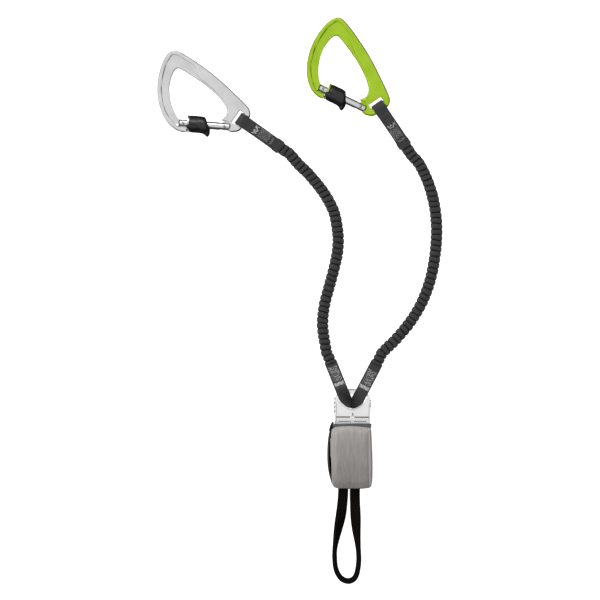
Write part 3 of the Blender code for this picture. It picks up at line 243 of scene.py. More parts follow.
# %% Woven finishes
def waves(bench, value, pitch):
    """Rounded threads side by side: 0 in the gaps and 1 on the crowns."""
    return bench.maths("ABSOLUTE", bench.maths("SINE", bench.times(value, math.pi / pitch)))


def start_woven(name, colour, roughness, sheen, specular=0.25):
    """A cloth finish, with the pale fuzz that loose fibres give."""
    material, bench, shader = start_finish(name, colour, roughness, 0.0, specular)
    shader.inputs["Sheen Weight"].default_value = sheen
    shader.inputs["Sheen Roughness"].default_value = 0.5
    return material, bench, shader


def woven_strap(name, dark, light, rib, column, depth, roughness=0.85, sheen=0.3, folded=False,
                specular=0.25):
    """Webbing with ribs across it and columns along it. Folds get painted shade where `fold` marks them."""
    material, bench, shader = start_woven(name, light, roughness, sheen, specular)
    along = measure(bench, "along")
    across = measure(bench, "across")
    shift = bench.times(bench.maths("FLOOR", bench.maths("DIVIDE", across, column)), rib * 0.5)
    ribs = waves(bench, bench.plus(along, shift), rib)
    columns = waves(bench, across, column)
    weave = bench.times(ribs, bench.maths("POWER", columns, 0.5))
    place = object_place(bench)
    fuzz = speckle(bench, place, 2600.0, 2.0)
    patches = speckle(bench, place, 140.0, 3.0)
    share = bench.plus(bench.times(weave, 0.55), bench.times(fuzz, 0.35), bench.times(patches, 0.20))
    tone = two_tones(bench, share, dark, light, 0.15, 0.95)
    # Painted shade: folds and creases that `fold` marks go nearly black.
    if folded:
        shade = bench.maths("POWER", measure(bench, "fold"), 0.7)
        tone = mixed(bench, shade, tone, (0.0010, 0.0010, 0.0011))
    wire(bench, tone, shader, "Base Color")
    relief(bench, shader, bench.plus(weave, bench.times(fuzz, 0.3)), depth)
    return material


def plain_cloth(name, dark, light, warp, weft, depth, sheen=0.25, cloud=0.4, streak=0.35, foot_shade_level=1.0):
    """Flat cloth with upright threads. The last argument is how light painted shade leaves its lower end."""
    material, bench, shader = start_woven(name, light, 0.9, sheen)
    place = object_place(bench)
    spot = bench.add("ShaderNodeSeparateXYZ", {"Vector": place})
    upright = waves(bench, spot.outputs["X"], warp)
    level = waves(bench, bench.plus(spot.outputs["Y"], spot.outputs["Z"]), weft)
    weave = bench.plus(bench.times(upright, 0.65), bench.times(level, 0.35))
    drawn_out = bench.add("ShaderNodeMapping", {"Vector": place, "Scale": (1.0, 0.06, 0.2)})
    streaks = speckle(bench, drawn_out.outputs["Vector"], 900.0, 2.0)
    clouds = speckle(bench, place, 45.0, 3.0)
    fuzz = speckle(bench, place, 3000.0, 2.0)
    share = bench.plus(bench.times(weave, 0.25), bench.times(streaks, streak), bench.times(clouds, cloud))
    tone = two_tones(bench, share, dark, light, 0.25, 0.85)
    # Painted shade, darker towards the bottom of the cloth.
    if foot_shade_level < 1.0:
        low = {"Value": spot.outputs["Y"], "From Min": -0.034, "From Max": 0.036, "To Min": foot_shade_level}
        fade = bench.add("ShaderNodeMapRange", low).outputs["Result"]
        tone = bench.add("ShaderNodeVectorMath", {0: tone, "Scale": fade}, operation="SCALE").outputs[0]
    wire(bench, tone, shader, "Base Color")
    relief(bench, shader, bench.plus(weave, bench.times(fuzz, 0.5)), depth)
    return material


# The arm webbings get painted shade in their folds.
ARM_BLACK = woven_strap("arm_webbing", (0.012, 0.012, 0.0125), (0.088, 0.088, 0.090),
                        0.0016, 0.0013, 0.00034, sheen=0.15, folded=True)
GATHER_BLACK = woven_strap("gathered_arm_webbing", (0.022, 0.022, 0.0225), (0.078, 0.078, 0.080),
                           0.0007, 0.0009, 0.00012, sheen=0.08, folded=True)
TIE_BLACK = woven_strap("tie_in_strap", (0.0025, 0.0018, 0.0012), (0.0070, 0.0050, 0.0036),
                        0.0010, 0.0012, 0.00016, 0.7, 0.0, specular=0.06)
WHITE_WEBBING = woven_strap("white_eye_webbing", (0.86, 0.86, 0.85), (0.98, 0.98, 0.975),
                            0.0012, 0.0012, 0.00012, 0.8, 0.1)
# The pouch front gets painted shade that darkens it towards the bottom.
POUCH_GREY = plain_cloth("pouch_front_cloth", (0.26, 0.242, 0.230), (0.50, 0.472, 0.450),
                         0.0006, 0.0006, 0.00010, cloud=0.3, streak=0.62, foot_shade_level=0.60)
POUCH_BLACK = plain_cloth("pouch_back_cloth", (0.006, 0.006, 0.0068), (0.021, 0.021, 0.0225),
                          0.0007, 0.0007, 0.00012, sheen=0.08)
BINDING_GREY = plain_cloth("pouch_tape", (0.060, 0.062, 0.066), (0.125, 0.130, 0.135),
                           0.0006, 0.0009, 0.00012)


def twisted_thread(name, dark, light):
    material, bench, shader = start_finish(name, light, 0.75, 0.0, 0.3)
    shader.inputs["Sheen Weight"].default_value = 0.2
    place = object_place(bench)
    tone = speckle(bench, place, 1400.0, 2.0)
    wire(bench, two_tones(bench, tone, dark, light), shader, "Base Color")
    relief(bench, shader, speckle(bench, place, 5200.0, 1.0), 0.00006, 0.6)
    return material


PALE_THREAD = twisted_thread("pale_tack_thread", (0.34, 0.34, 0.345), (0.66, 0.66, 0.665))
DIM_THREAD = twisted_thread("dim_block_thread", (0.11, 0.11, 0.112), (0.30, 0.30, 0.305))
SHADE_THREAD = twisted_thread("shaded_row_thread", (0.20, 0.20, 0.202), (0.42, 0.42, 0.425))
EYE_THREAD = twisted_thread("dark_eye_thread", (0.012, 0.012, 0.013), (0.045, 0.045, 0.046))
EYE_GREY_THREAD = twisted_thread("grey_eye_thread", (0.18, 0.18, 0.182), (0.32, 0.32, 0.322))
POUCH_THREAD = twisted_thread("light_pouch_thread", (0.60, 0.585, 0.57), (0.80, 0.78, 0.765))
RUBBER = start_finish("elastic_rubber", (0.10, 0.10, 0.10), 0.6)[0]
print("woven finishes:", ARM_BLACK.name, WHITE_WEBBING.name, POUCH_GREY.name)

# %% [markdown]
# ## From mesh code to pieces
# A finished piece's object sits at the origin and its place is in its mesh. A hard piece begins as a
# copy of its CAD solid: doubled points are merged, flat faces are joined up, and a small bevel rounds
# the edges that a real tool would have broken. Weighted normals keep the broad faces flat beside it.


# %% Piece helpers
def add_piece(name, mesh, material, body):
    piece = bpy.data.objects.new(name, mesh)
    scene.collection.objects.link(piece)
    mesh.materials.clear()
    mesh.materials.append(material)
    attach(piece, body)
    return piece


def evaluated_mesh(piece):
    bpy.context.view_layer.update()
    graph = bpy.context.evaluated_depsgraph_get()
    return bpy.data.meshes.new_from_object(piece.evaluated_get(graph))


def merged(mesh):
    """The mesh opened for editing, with its doubled points merged."""
    bm = bmesh.new()
    bm.from_mesh(mesh)
    bmesh.ops.remove_doubles(bm, verts=bm.verts, dist=2e-6)
    return bm


def join_rings(bm, rings):
    """Faces from each ring of points to the next."""
    for low, high in zip(rings, rings[1:]):
        for i in range(len(low)):
            j = (i + 1) % len(low)
            bm.faces.new((low[i], low[j], high[j], high[i]))


def closed_mesh(bm, name, sharp=None):
    """The finished mesh, its faces turned outwards. Edges above the angle `sharp` stay sharp."""
    bmesh.ops.recalc_face_normals(bm, faces=bm.faces)
    mesh = bpy.data.meshes.new(name)
    bm.to_mesh(mesh)
    bm.free()
    if sharp:
        mesh.shade_smooth()
        mesh.set_sharp_from_angle(angle=math.radians(sharp))
    return mesh


def settle(piece):
    """Turns a piece and its modifiers into one plain mesh."""
    mesh = evaluated_mesh(piece)
    piece.modifiers.clear()
    piece.data = mesh
    return piece


def hard_copy(node, material, body, edge=0.0, sharp=42.0, nudge=None):
    """Copy of a hard CAD piece with its edges broken. `nudge` may move a point first."""
    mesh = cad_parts[node].data.copy()
    bm = merged(mesh)
    bmesh.ops.dissolve_limit(bm, angle_limit=math.radians(0.6), verts=bm.verts, edges=bm.edges)
    if nudge:
        for vertex in bm.verts:
            nudge(vertex.co)
    bm.to_mesh(mesh)
    bm.free()
    mesh.name = node + "_fine"
    mesh.shade_smooth()
    mesh.set_sharp_from_angle(angle=math.radians(sharp))
    piece = bpy.data.objects.new(node + "_fine", mesh)
    scene.collection.objects.link(piece)
    mesh.materials.clear()
    mesh.materials.append(material)
    if edge:
        bevel = piece.modifiers.new("broken_edges", "BEVEL")
        bevel.width = edge
        bevel.segments = 2
        bevel.limit_method = "ANGLE"
        bevel.angle_limit = math.radians(sharp)
        bevel.use_clamp_overlap = True
    normals = piece.modifiers.new("flat_faces", "WEIGHTED_NORMAL")
    normals.keep_sharp = not edge
    settle(piece)
    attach(piece, body)
    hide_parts(node)
    return piece


# %% [markdown]
# ## Where the arms run
# Each arm leaves the sewn loop on its carabiner, swings out in one easy curve and comes back to the
# absorber's eye. These are the CAD model's own points, in metres. A Catmull-Rom line runs through
# them, with a short straight length square to the sewn loop at each end.

# %% Arm routes
SILVER_BAR = Vector((-0.131122, 0.403645, 0.0102))
GREEN_BAR = Vector((0.033239, 0.419476, 0.0102))
SILVER_STRAP_TURN = math.radians(-35.0)
GREEN_STRAP_TURN = math.radians(-55.5)
BAR_LOOP_LENGTH = 0.0550
ARM_HALF_WIDTH = 0.0072
ARM_HALF_HEIGHT = 0.0046
ARM_HEIGHT = 0.0050
SEAM_GAP = 0.0003
SILVER_ROUTE = [
    (-0.0750, 0.3612), (-0.0636, 0.3516), (-0.0534, 0.3420), (-0.0450, 0.3324), (-0.0372, 0.3228),
    (-0.0306, 0.3132), (-0.0252, 0.3036), (-0.0210, 0.2940), (-0.0186, 0.2844), (-0.0162, 0.2676),
    (-0.0160, 0.2556), (-0.0176, 0.2412), (-0.0220, 0.2220), (-0.0272, 0.2028), (-0.0322, 0.1836),
    (-0.0346, 0.1644), (-0.0340, 0.1500), (-0.0304, 0.1308),
]
GREEN_ROUTE = [
    (0.0745, 0.3612), (0.0818, 0.3516), (0.0912, 0.3324), (0.0974, 0.3132), (0.1010, 0.2940),
    (0.1024, 0.2748), (0.1018, 0.2556), (0.0996, 0.2364), (0.0959, 0.2172), (0.0899, 0.1980),
    (0.0812, 0.1788), (0.0688, 0.1596), (0.0527, 0.1404), (0.0448, 0.1328),
]
SILVER_ARM_END = Vector((-0.0246, 0.1128, 0.0))
SILVER_TONGUE_END = Vector((-0.0022, 0.0566, 0.0))
GREEN_ARM_END = Vector((0.0300, 0.1116, 0.0))
GREEN_TONGUE_END = Vector((0.0010, 0.0566, 0.0))


def curve_spot(before, here, there, after, t):
    """Spot on the curve from `here` to `there`, at a share t of the way."""
    return 0.5 * (2 * here + (there - before) * t
                  + (2 * before - 5 * here + 4 * there - after) * t ** 2
                  + (3 * here - before - 3 * there + after) * t ** 3)


def smooth_line(points, steps):
    """Catmull-Rom line through points, with a number of steps between them."""
    points = [Vector(point) for point in points]
    ends = [2 * points[0] - points[1]] + points + [2 * points[-1] - points[-2]]
    line = []
    for k in range(1, len(ends) - 2):
        line += [curve_spot(*ends[k - 1:k + 3], i / steps) for i in range(steps)]
    return line + [points[-1]]


def arm_centre(bar, turn, route, arm_end, tongue_end):
    """Middle line of one gathered arm, from its carabiner loop to its eye loop."""
    out_way = Vector((math.cos(turn), math.sin(turn), 0.0))
    in_way = (tongue_end - arm_end).normalized()
    run = 2 * ARM_HALF_WIDTH
    first = Vector((bar.x, bar.y, 0.0)) + out_way * (BAR_LOOP_LENGTH + SEAM_GAP)
    last = arm_end - in_way * SEAM_GAP
    free = 1.5 * run
    spots = [Vector((x, y, 0.0)) for x, y in route]
    points = [first, first + out_way * run / 2, first + out_way * run]
    points += [spot for spot in spots if (spot - first).length > free and (spot - last).length > free]
    points += [last - in_way * run, last - in_way * run / 2, last]
    return [spot + Vector((0, 0, ARM_HEIGHT)) for spot in smooth_line(points, 8)]


def line_length(line):
    return sum((b - a).length for a, b in zip(line, line[1:]))


SILVER_LINE = arm_centre(SILVER_BAR, SILVER_STRAP_TURN, SILVER_ROUTE, SILVER_ARM_END, SILVER_TONGUE_END)
GREEN_LINE = arm_centre(GREEN_BAR, GREEN_STRAP_TURN, GREEN_ROUTE, GREEN_ARM_END, GREEN_TONGUE_END)
print("gathered arms:", round(line_length(SILVER_LINE), 4), "and", round(line_length(GREEN_LINE), 4), "m")

# %% [markdown]
# ## A Geometry Nodes tree for gathered webbing
# Tubular webbing is drawn up over an elastic core, so it stands in dozens of small puffed ribs with
# sharp folds between them. That follows a rule, so nodes make it: the middle line becomes an oval
# tube, each point learns how far along and how far round it lies, and a narrow dip at every fold
# pushes it inwards, most on top and underneath. Noise shifts and tilts the folds a little, because no
# two gathers are alike.


# %% Tree helpers
def start_tree(name, inputs):
    """Geometry Nodes tree with named inputs. inputs is a list of (name, kind, value)."""
    tree = bpy.data.node_groups.new(name, "GeometryNodeTree")
    tree.interface.new_socket("Geometry", in_out="INPUT", socket_type="NodeSocketGeometry")
    tree.interface.new_socket("Geometry", in_out="OUTPUT", socket_type="NodeSocketGeometry")
    for label, kind, value in inputs:
        socket = tree.interface.new_socket(label, in_out="INPUT", socket_type="NodeSocket" + kind)
        if value is not None:
            socket.default_value = value
    bench = NodeBench(tree)
    return tree, bench, bench.add("NodeGroupInput")


def end_tree(bench, geometry, material):
    """Realize Instances, Set Material and the output."""
    real = bench.add("GeometryNodeRealizeInstances", {"Geometry": geometry})
    dressed = bench.add("GeometryNodeSetMaterial", {"Geometry": real.outputs[0], "Material": material})
    bench.add("NodeGroupOutput", {"Geometry": dressed.outputs[0]})


def stored(bench, geometry, name, value):
    """Stores a number on every point."""
    values = {"Geometry": geometry, "Name": name, "Value": value}
    node = bench.add("GeometryNodeStoreNamedAttribute", values, data_type="FLOAT", domain="POINT")
    return node.outputs[0]


def read_back(bench, name, kind="FLOAT"):
    return bench.add("GeometryNodeInputNamedAttribute", {"Name": name}, data_type=kind).outputs[0]


def grow(name, data, tree, values, body):
    """Runs a tree on a curve or mesh and keeps the result as a plain mesh piece."""
    seed = bpy.data.objects.new(name + "_seed", data)
    scene.collection.objects.link(seed)
    modifier = seed.modifiers.new("grow", "NODES")
    modifier.node_group = tree
    for socket in tree.interface.items_tree:
        if socket.in_out == "INPUT" and socket.name in values:
            modifier[socket.identifier] = values[socket.name]
    mesh = evaluated_mesh(seed)
    bpy.data.objects.remove(seed, do_unlink=True)
    mesh.name = name
    piece = bpy.data.objects.new(name, mesh)
    scene.collection.objects.link(piece)
    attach(piece, body)
    return piece


def poly_curve(name, points):
    curve = bpy.data.curves.new(name, "CURVE")
    curve.dimensions = "3D"
    spline = curve.splines.new("POLY")
    spline.points.add(len(points) - 1)
    for k, point in enumerate(points):
        spline.points[k].co = (*point, 1.0)
    return curve


# %% The gathered-arm tree
WANDER_PACE = 0.55
WANDER_REACH = 0.55
SLEEVE_GIRTH = 0.038


def gathered_arm_tree():
    tree, bench, given = start_tree("gathered_arm", [
        ("Half Width", "Float", ARM_HALF_WIDTH), ("Half Height", "Float", ARM_HALF_HEIGHT),
        ("Ribs", "Int", 44), ("Steps", "Int", 16), ("Sides", "Int", 40), ("Side Fold", "Float", 0.0008),
        ("Top Fold", "Float", 0.0022), ("Fold Width", "Float", 0.115), ("Crown", "Float", 0.00028),
        ("Slant", "Float", 0.10), ("Seed", "Float", 0.0), ("Length", "Float", 0.28),
        ("Material", "Material", None)])
    give = given.outputs
    count = bench.plus(bench.times(give["Ribs"], give["Steps"]), 1.0)
    evenly = bench.add("GeometryNodeResampleCurve", {"Curve": give["Geometry"], "Count": count})
    level = bench.add("GeometryNodeSetCurveNormal", {"Curve": evenly.outputs[0]}, mode="Z_UP")
    share = bench.add("GeometryNodeSplineParameter").outputs["Factor"]
    rail = stored(bench, level.outputs[0], "along_share", share)
    circle = bench.add("GeometryNodeCurvePrimitiveCircle", {"Resolution": give["Sides"], "Radius": 1.0})
    ring = stored(bench, circle.outputs[0], "round_share", share)
    size = bench.add("ShaderNodeCombineXYZ", {"X": give["Half Width"], "Y": give["Half Height"], "Z": 1.0})
    oval = bench.add("GeometryNodeTransform", {"Geometry": ring, "Scale": size.outputs[0]})
    tube = bench.add("GeometryNodeCurveToMesh",
                     {"Curve": rail, "Profile Curve": oval.outputs[0], "Fill Caps": True})
    along = read_back(bench, "along_share")
    around = read_back(bench, "round_share")
    angle = bench.times(around, 2 * math.pi)
    sideways_share, upright_share = bench.maths("COSINE", angle), bench.maths("SINE", angle)
    ribs_along = bench.times(along, give["Ribs"])
    wander_place = bench.add("ShaderNodeCombineXYZ", {
        "X": bench.times(ribs_along, WANDER_PACE), "Y": bench.times(upright_share, WANDER_PACE),
        "Z": bench.plus(give["Seed"], bench.times(sideways_share, WANDER_PACE))})
    wander = bench.add("ShaderNodeTexNoise", {"Vector": wander_place.outputs[0], "Scale": 1.0, "Detail": 1.0})
    still = bench.add("ShaderNodeMapRange", {"Value": bench.maths("PINGPONG", along, 0.5), "From Max": 0.012})
    loose = bench.times(bench.maths("SUBTRACT", wander.outputs["Fac"], 0.5), WANDER_REACH)
    shift = bench.plus(loose, bench.times(sideways_share, give["Slant"]))
    phase = bench.plus(ribs_along, 0.5, bench.times(shift, still.outputs["Result"]))
    away = bench.maths("PINGPONG", phase, 0.5)
    narrow = bench.maths("DIVIDE", away, give["Fold Width"])
    groove = bench.maths("EXPONENT", bench.times(narrow, narrow, -1.0))
    upright = bench.maths("ABSOLUTE", upright_share)
    side_fold = bench.times(give["Side Fold"], bench.plus(bench.times(along, 1.1), 0.35))
    more_on_top = bench.times(upright, bench.maths("SUBTRACT", give["Top Fold"], side_fold))
    depth = bench.plus(side_fold, more_on_top)
    shoulder = bench.maths("POWER", bench.maths("SUBTRACT", 1.0, bench.times(away, 2.0)), 2.2)
    rib_number = bench.add("ShaderNodeCombineXYZ", {"X": bench.maths("FLOOR", phase), "Y": give["Seed"]})
    chance = bench.add("ShaderNodeTexWhiteNoise", {"Vector": rib_number.outputs[0]}, noise_dimensions="3D")
    slack = bench.times(chance.outputs["Value"], 0.5, give["Crown"])
    sunk = bench.plus(bench.times(depth, groove), bench.times(give["Crown"], shoulder))
    push = bench.times(bench.plus(sunk, slack), -1.0)
    outward = bench.add("GeometryNodeInputNormal")
    offset = bench.add("ShaderNodeVectorMath", {0: outward.outputs[0], "Scale": push}, operation="SCALE")
    folded = bench.add("GeometryNodeSetPosition", {"Geometry": tube.outputs[0], "Offset": offset.outputs[0]})
    # The groove share is stored as `fold`, which the finish turns into painted shade in the folds.
    marked = stored(bench, folded.outputs[0], "fold", groove)
    metres = stored(bench, marked, "along", bench.times(along, give["Length"]))
    girth = bench.times(bench.maths("PINGPONG", around, 0.5), SLEEVE_GIRTH)
    measured = stored(bench, metres, "across", girth)
    smooth = bench.add("GeometryNodeSetShadeSmooth", {"Geometry": measured})
    end_tree(bench, smooth.outputs[0], give["Material"])
    return tree


ARM_TREE = gathered_arm_tree()


def make_arm(prefix, line, seed):
    """Gathered sleeve of one arm."""
    length = line_length(line)
    values = {"Length": length * 2.4, "Seed": seed, "Material": GATHER_BLACK}
    piece = grow(prefix + "_gathered_arm", poly_curve(prefix + "_line", line), ARM_TREE, values, "lanyard")
    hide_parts(prefix + "_arm_sleeve")
    tuple(line[0])
    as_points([tuple(spot) for spot in line[::6]] + [tuple(line[-1])])
    print(piece.name, len(piece.data.polygons), "faces,", round(length, 4), "m")


make_arm("silver", SILVER_LINE, 3.0)
make_arm("green", GREEN_LINE, 11.0)

# %% [markdown]
# ## Thread
# Everything soft on this lanyard is held by thread. One stitch is a short piece of thread that comes up
# out of the webbing, lies over it and dives back in. Modelling hundreds by hand would be slow, so the
# stitches are drawn as loose edges of a plain mesh, and a second tree turns every edge into a small
# arched, tapered tube. Each end of an edge is dropped on the cloth below it with a ray.


# %% The stitch tree
def stitch_tree():
    """Turns every loose edge into one stitch."""
    tree, bench, given = start_tree("stitches", [
        ("Thread", "Float", 0.0003), ("Arch", "Float", 0.0003), ("Points", "Int", 6), ("Sides", "Int", 6),
        ("Material", "Material", None)])
    give = given.outputs
    strokes = bench.add("GeometryNodeMeshToCurve", {"Mesh": give["Geometry"]})
    bent = bench.add("GeometryNodeResampleCurve", {"Curve": strokes.outputs[0], "Count": give["Points"]})
    share = bench.add("GeometryNodeSplineParameter").outputs["Factor"]
    bow = bench.maths("SINE", bench.times(share, math.pi))
    rise = bench.times(bow, give["Arch"])
    up = read_back(bench, "up", "FLOAT_VECTOR")
    lift = bench.add("ShaderNodeVectorMath", {0: up, "Scale": rise}, operation="SCALE")
    arched = bench.add("GeometryNodeSetPosition", {"Geometry": bent.outputs[0], "Offset": lift.outputs[0]})
    taper = bench.add("ShaderNodeMapRange", {"Value": bow, "From Max": 0.6, "To Min": 0.4, "To Max": 1.0})
    drawn = bench.add("GeometryNodeSetCurveRadius",
                      {"Curve": arched.outputs[0], "Radius": taper.outputs["Result"]})
    section = bench.add("GeometryNodeCurvePrimitiveCircle",
                        {"Resolution": give["Sides"], "Radius": give["Thread"]})
    tube = bench.add("GeometryNodeCurveToMesh",
                     {"Curve": drawn.outputs[0], "Profile Curve": section.outputs[0], "Fill Caps": True})
    smooth = bench.add("GeometryNodeSetShadeSmooth", {"Geometry": tube.outputs[0]})
    end_tree(bench, smooth.outputs[0], give["Material"])
    return tree


STITCH_TREE = stitch_tree()


# %% Laying stitches on cloth
def cloth_below(piece):
    """Gives the spot and the way out of the cloth under a place seen from above."""
    mesh = piece.data
    tree = BVHTree.FromPolygons([vertex.co for vertex in mesh.vertices],
                                [polygon.vertices[:] for polygon in mesh.polygons])

    def drop(x, y):
        spot, normal = tree.ray_cast(Vector((x, y, 0.1)), Vector((0.0, 0.0, -1.0)))[:2]
        return (spot, normal) if spot else None

    return drop


def sew(name, strokes, cloth, finish, thread, arch, *replaced):
    """Lays strokes, pairs of (x, y) places, on a piece as stitches of thread.

    `thread` is its radius and `arch` how far it stands up, both in metres.
    """
    drop = cloth_below(cloth)
    mesh = bpy.data.meshes.new(name + "_strokes")
    bm = bmesh.new()
    up = bm.verts.layers.float_vector.new("up")
    for start, end in strokes:
        hits = [drop(*start), drop(*end)]
        if None in hits:
            continue
        pair = []
        for spot, normal in hits:
            vertex = bm.verts.new(spot - normal * thread * 0.4)
            vertex[up] = normal
            pair.append(vertex)
        bm.edges.new(pair)
    bm.to_mesh(mesh)
    bm.free()
    piece = grow(name, mesh, STITCH_TREE, {"Thread": thread, "Arch": arch, "Material": finish}, "lanyard")
    if replaced:
        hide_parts(*replaced)
    print(name, len(strokes), "stitches,", len(piece.data.polygons), "faces")


def zigzag(first, last, low, high, count):
    """Strokes to and fro between two levels, in strap measures (along, across)."""
    strokes = []
    for k in range(count):
        here = first + (last - first) * k / count
        there = first + (last - first) * (k + 1) / count
        levels = (low, high) if k % 2 == 0 else (high, low)
        strokes.append(((here, levels[0]), (there, levels[1])))
    return strokes


def running(first, last, level, pitch, fill=0.72):
    """A straight row of stitches with short spaces between them."""
    count = max(1, round((last - first) / pitch))
    step = (last - first) / count
    return [((first + k * step, level), (first + (k + fill) * step, level)) for k in range(count)]


def sideways(strokes):
    """The same strokes with their two measures swapped."""
    return [((b, a), (d, c)) for (a, b), (c, d) in strokes]


def on_strap(strokes, origin, turn):
    """Strap measures turned into places."""
    ahead = Vector((math.cos(turn), math.sin(turn)))
    aside = Vector((-ahead.y, ahead.x))
    base = Vector((origin.x, origin.y))

    def spot(point):
        place = base + ahead * point[0] + aside * point[1]
        return (place.x, place.y)

    return [(spot(start), spot(end)) for start, end in strokes]


# %% [markdown]
# ## Carabiner bodies, gates and rivets
# These shapes are already in the CAD model, so they are kept. Only the sunk field in the forging is
# changed a little: a die leaves drafted walls, so the foot of its wall moves half a millimetre into the
# field. That wall gets painted shade, a little darker, and makes the fine line that one sees from above.
# The rounded edges get darker painted shade too, most where they face right.

# %% Metal pieces
FIELD_FLOOR = 0.0040
FIELD_RIM = 0.0050
FIELD_DRAFT = 0.00055
FLAT_ENOUGH = 0.985
# Painted shade on the forgings: how much the rounded edges and the sunk field's wall are darkened.
EDGE_GAIN = 11.0
DARKEST_EDGE_SHADE = 0.98
FIELD_WALL_SHADE = 0.30
TO_THE_RIGHT = 0.92
DOWNWARDS = 0.20
LEAST_SHARE = 0.45
GATE_TURN = {"silver": -4.5, "green": -25.0}


def drafted(mesh, depth_from, depth_to, draft):
    """Slopes the upright walls between two distances from the middle plane."""
    bm = merged(mesh)
    ways = {}
    for face in bm.faces:
        heights = [abs(vertex.co.z - SILVER_BAR.z) for vertex in face.verts]
        within = min(heights) > depth_from - 1e-5 and max(heights) < depth_to + 1e-5
        if within and abs(face.normal.z) < 0.05:
            for vertex in face.verts:
                if abs(vertex.co.z - SILVER_BAR.z) < depth_from + 1e-5:
                    ways[vertex] = ways.get(vertex, Vector()) + face.normal
    for vertex, way in ways.items():
        vertex.co += way.normalized() * draft
    bm.to_mesh(mesh)
    bm.free()
    return len(ways)


def paint_edge_shade(mesh):
    """Stores how much shade is painted on each rounded edge, as `edge`.

    The photograph has dark lines on edges that face right or down and hardly any on those that face left
    or up and left. This is paint that imitates them, so it turns with the body.
    """
    edge = mesh.attributes.new("edge", "FLOAT", "FACE")
    for polygon in mesh.polygons:
        normal = polygon.normal
        lean = 1.0 - min(abs(normal.z) / FLAT_ENOUGH, 1.0)
        level = math.hypot(normal.x, normal.y)
        facing = (TO_THE_RIGHT * normal.x - DOWNWARDS * normal.y) / level if level > 1e-6 else 0.0
        share = LEAST_SHARE + 0.55 * min(max(facing + 0.45, 0.0), 1.0)
        heights = [abs(mesh.vertices[k].co.z - SILVER_BAR.z) for k in polygon.vertices]
        field_wall = min(heights) > 0.0038 and max(heights) - min(heights) > 0.0009
        paint = FIELD_WALL_SHADE if field_wall else min(lean * EDGE_GAIN, DARKEST_EDGE_SHADE) * share
        edge.data[polygon.index].value = paint


def forged_copy(node, material, body, slot):
    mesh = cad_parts[node].data.copy()
    moved = drafted(mesh, FIELD_FLOOR, FIELD_RIM, FIELD_DRAFT)
    mesh.name = node + "_fine"
    mesh.shade_smooth()
    mesh.set_sharp_from_angle(angle=math.radians(16.0))
    paint_edge_shade(mesh)
    piece = add_piece(node + "_fine", mesh, material, body)
    normals = piece.modifiers.new("flat_faces", "WEIGHTED_NORMAL")
    normals.keep_sharp = True
    settle(piece)
    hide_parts(node)
    print(piece.name, "wall points drafted:", moved)


for prefix, paint, slot in (("silver", BARE_METAL, "bare_forged_aluminium"),
                            ("green", LIME_METAL, "green_anodised_aluminium")):
    forged_copy(prefix + "_carabiner_body", paint, prefix + "_connector", slot)
    hard_copy(prefix + "_gate", POLISHED_METAL, prefix + "_gate_arm", 0.00025, 35.0)
    hard_copy(prefix + "_gate_hinge_rivet", RIVET_METAL, prefix + "_connector", 0.00012, 40.0)
    hard_copy(prefix + "_gate_latch_rivet", RIVET_METAL, prefix + "_gate_arm", 0.00012, 40.0)
    ring = hard_copy(prefix + "_sleeve_ring", RING_METAL, prefix + "_lock", 0.0001, 40.0)
    if prefix == "green":
        turn = math.radians(GATE_TURN[prefix])
        gate_way = Vector((-math.cos(turn), -math.sin(turn), 0.0))
        spots = [polygon.center.dot(gate_way) for polygon in ring.data.polygons]
        ring.data.materials.append(LIME_METAL)
        for polygon, spot in zip(ring.data.polygons, spots):
            polygon.material_index = int(spot > (min(spots) + max(spots)) / 2)

# %% [markdown]
# ## Locking sleeves
# The sleeve is one moulding that the thumb turns on the gate. Seen along the gate it is round, with a
# spur to push on, and a soft S-shaped step runs over it from the front down to the root of the spur.
# It is made here as rings of points round the gate, with the front cup, the bore, the slot for the
# nose's lip and the locking tab in the same closed skin, then turned and moved to its carabiner.

# %% Sleeve skin
SLEEVE_RADIUS = 0.0102
SLEEVE_FRONT = -0.0424
SLEEVE_LENGTH = 0.0226
SLEEVE_SLANT = 0.0027
SLEEVE_CUP = 0.00925
SLEEVE_CUP_DEPTH = 0.0028
SLEEVE_BORE = 0.0048
SLEEVE_TAB = (math.radians(100.0), math.radians(132.0), 0.0026)
LIP_SLOT = math.asin(0.0018 / 0.0093)
SPUR_REACH = 0.0050
STATION_SHARES = [0.0, 0.04, 0.16, 0.30, 0.45, 0.58, 0.68, 0.77, 0.85, 0.91, 0.96, 1.0]
RADIUS_SHARES = [0.93, 0.985, 1.0, 1.0, 1.0, 1.0, 0.99, 0.975, 0.95, 0.90, 0.80, 0.62]
SPUR_SHARES = [0.0, 0.0, 0.0, 0.0, 0.0, 0.02, 0.14, 0.40, 0.80, 1.0, 1.0, 0.80]
STEP_LINE = [(-0.0430, -0.0017), (-0.0400, -0.0012), (-0.0368, -0.0008), (-0.0342, -0.0014),
             (-0.0320, -0.0032), (-0.0302, -0.0054), (-0.0286, -0.0078), (-0.0268, -0.0096),
             (-0.0240, -0.0104)]
STEP_HEIGHT = 0.00085
STEP_SLOPE = 0.0007
STEP_FADE = 0.0075
STEP_BASE = 0.00055
SLEEVE_SIDES = 96
SLEEVE_STEPS = 44


def eased(value):
    value = min(max(value, 0.0), 1.0)
    return value * value * (3 - 2 * value)


def between(places, values, place):
    """Smooth reading between given values."""
    for k in range(len(places) - 1):
        if place <= places[k + 1]:
            share = (place - places[k]) / (places[k + 1] - places[k])
            return values[k] + (values[k + 1] - values[k]) * max(share, 0.0)
    return values[-1]


def step_rise(x, y):
    """Height of the soft step at a spot seen from above: raised over the S line, flat below it."""
    level = between([spot[0] for spot in STEP_LINE], [spot[1] for spot in STEP_LINE], x)
    over = eased((y - level) / STEP_SLOPE + 0.5)
    fade = 1.0 - 0.75 * eased((y - level - 0.0010) / STEP_FADE)
    return STEP_HEIGHT * over * fade


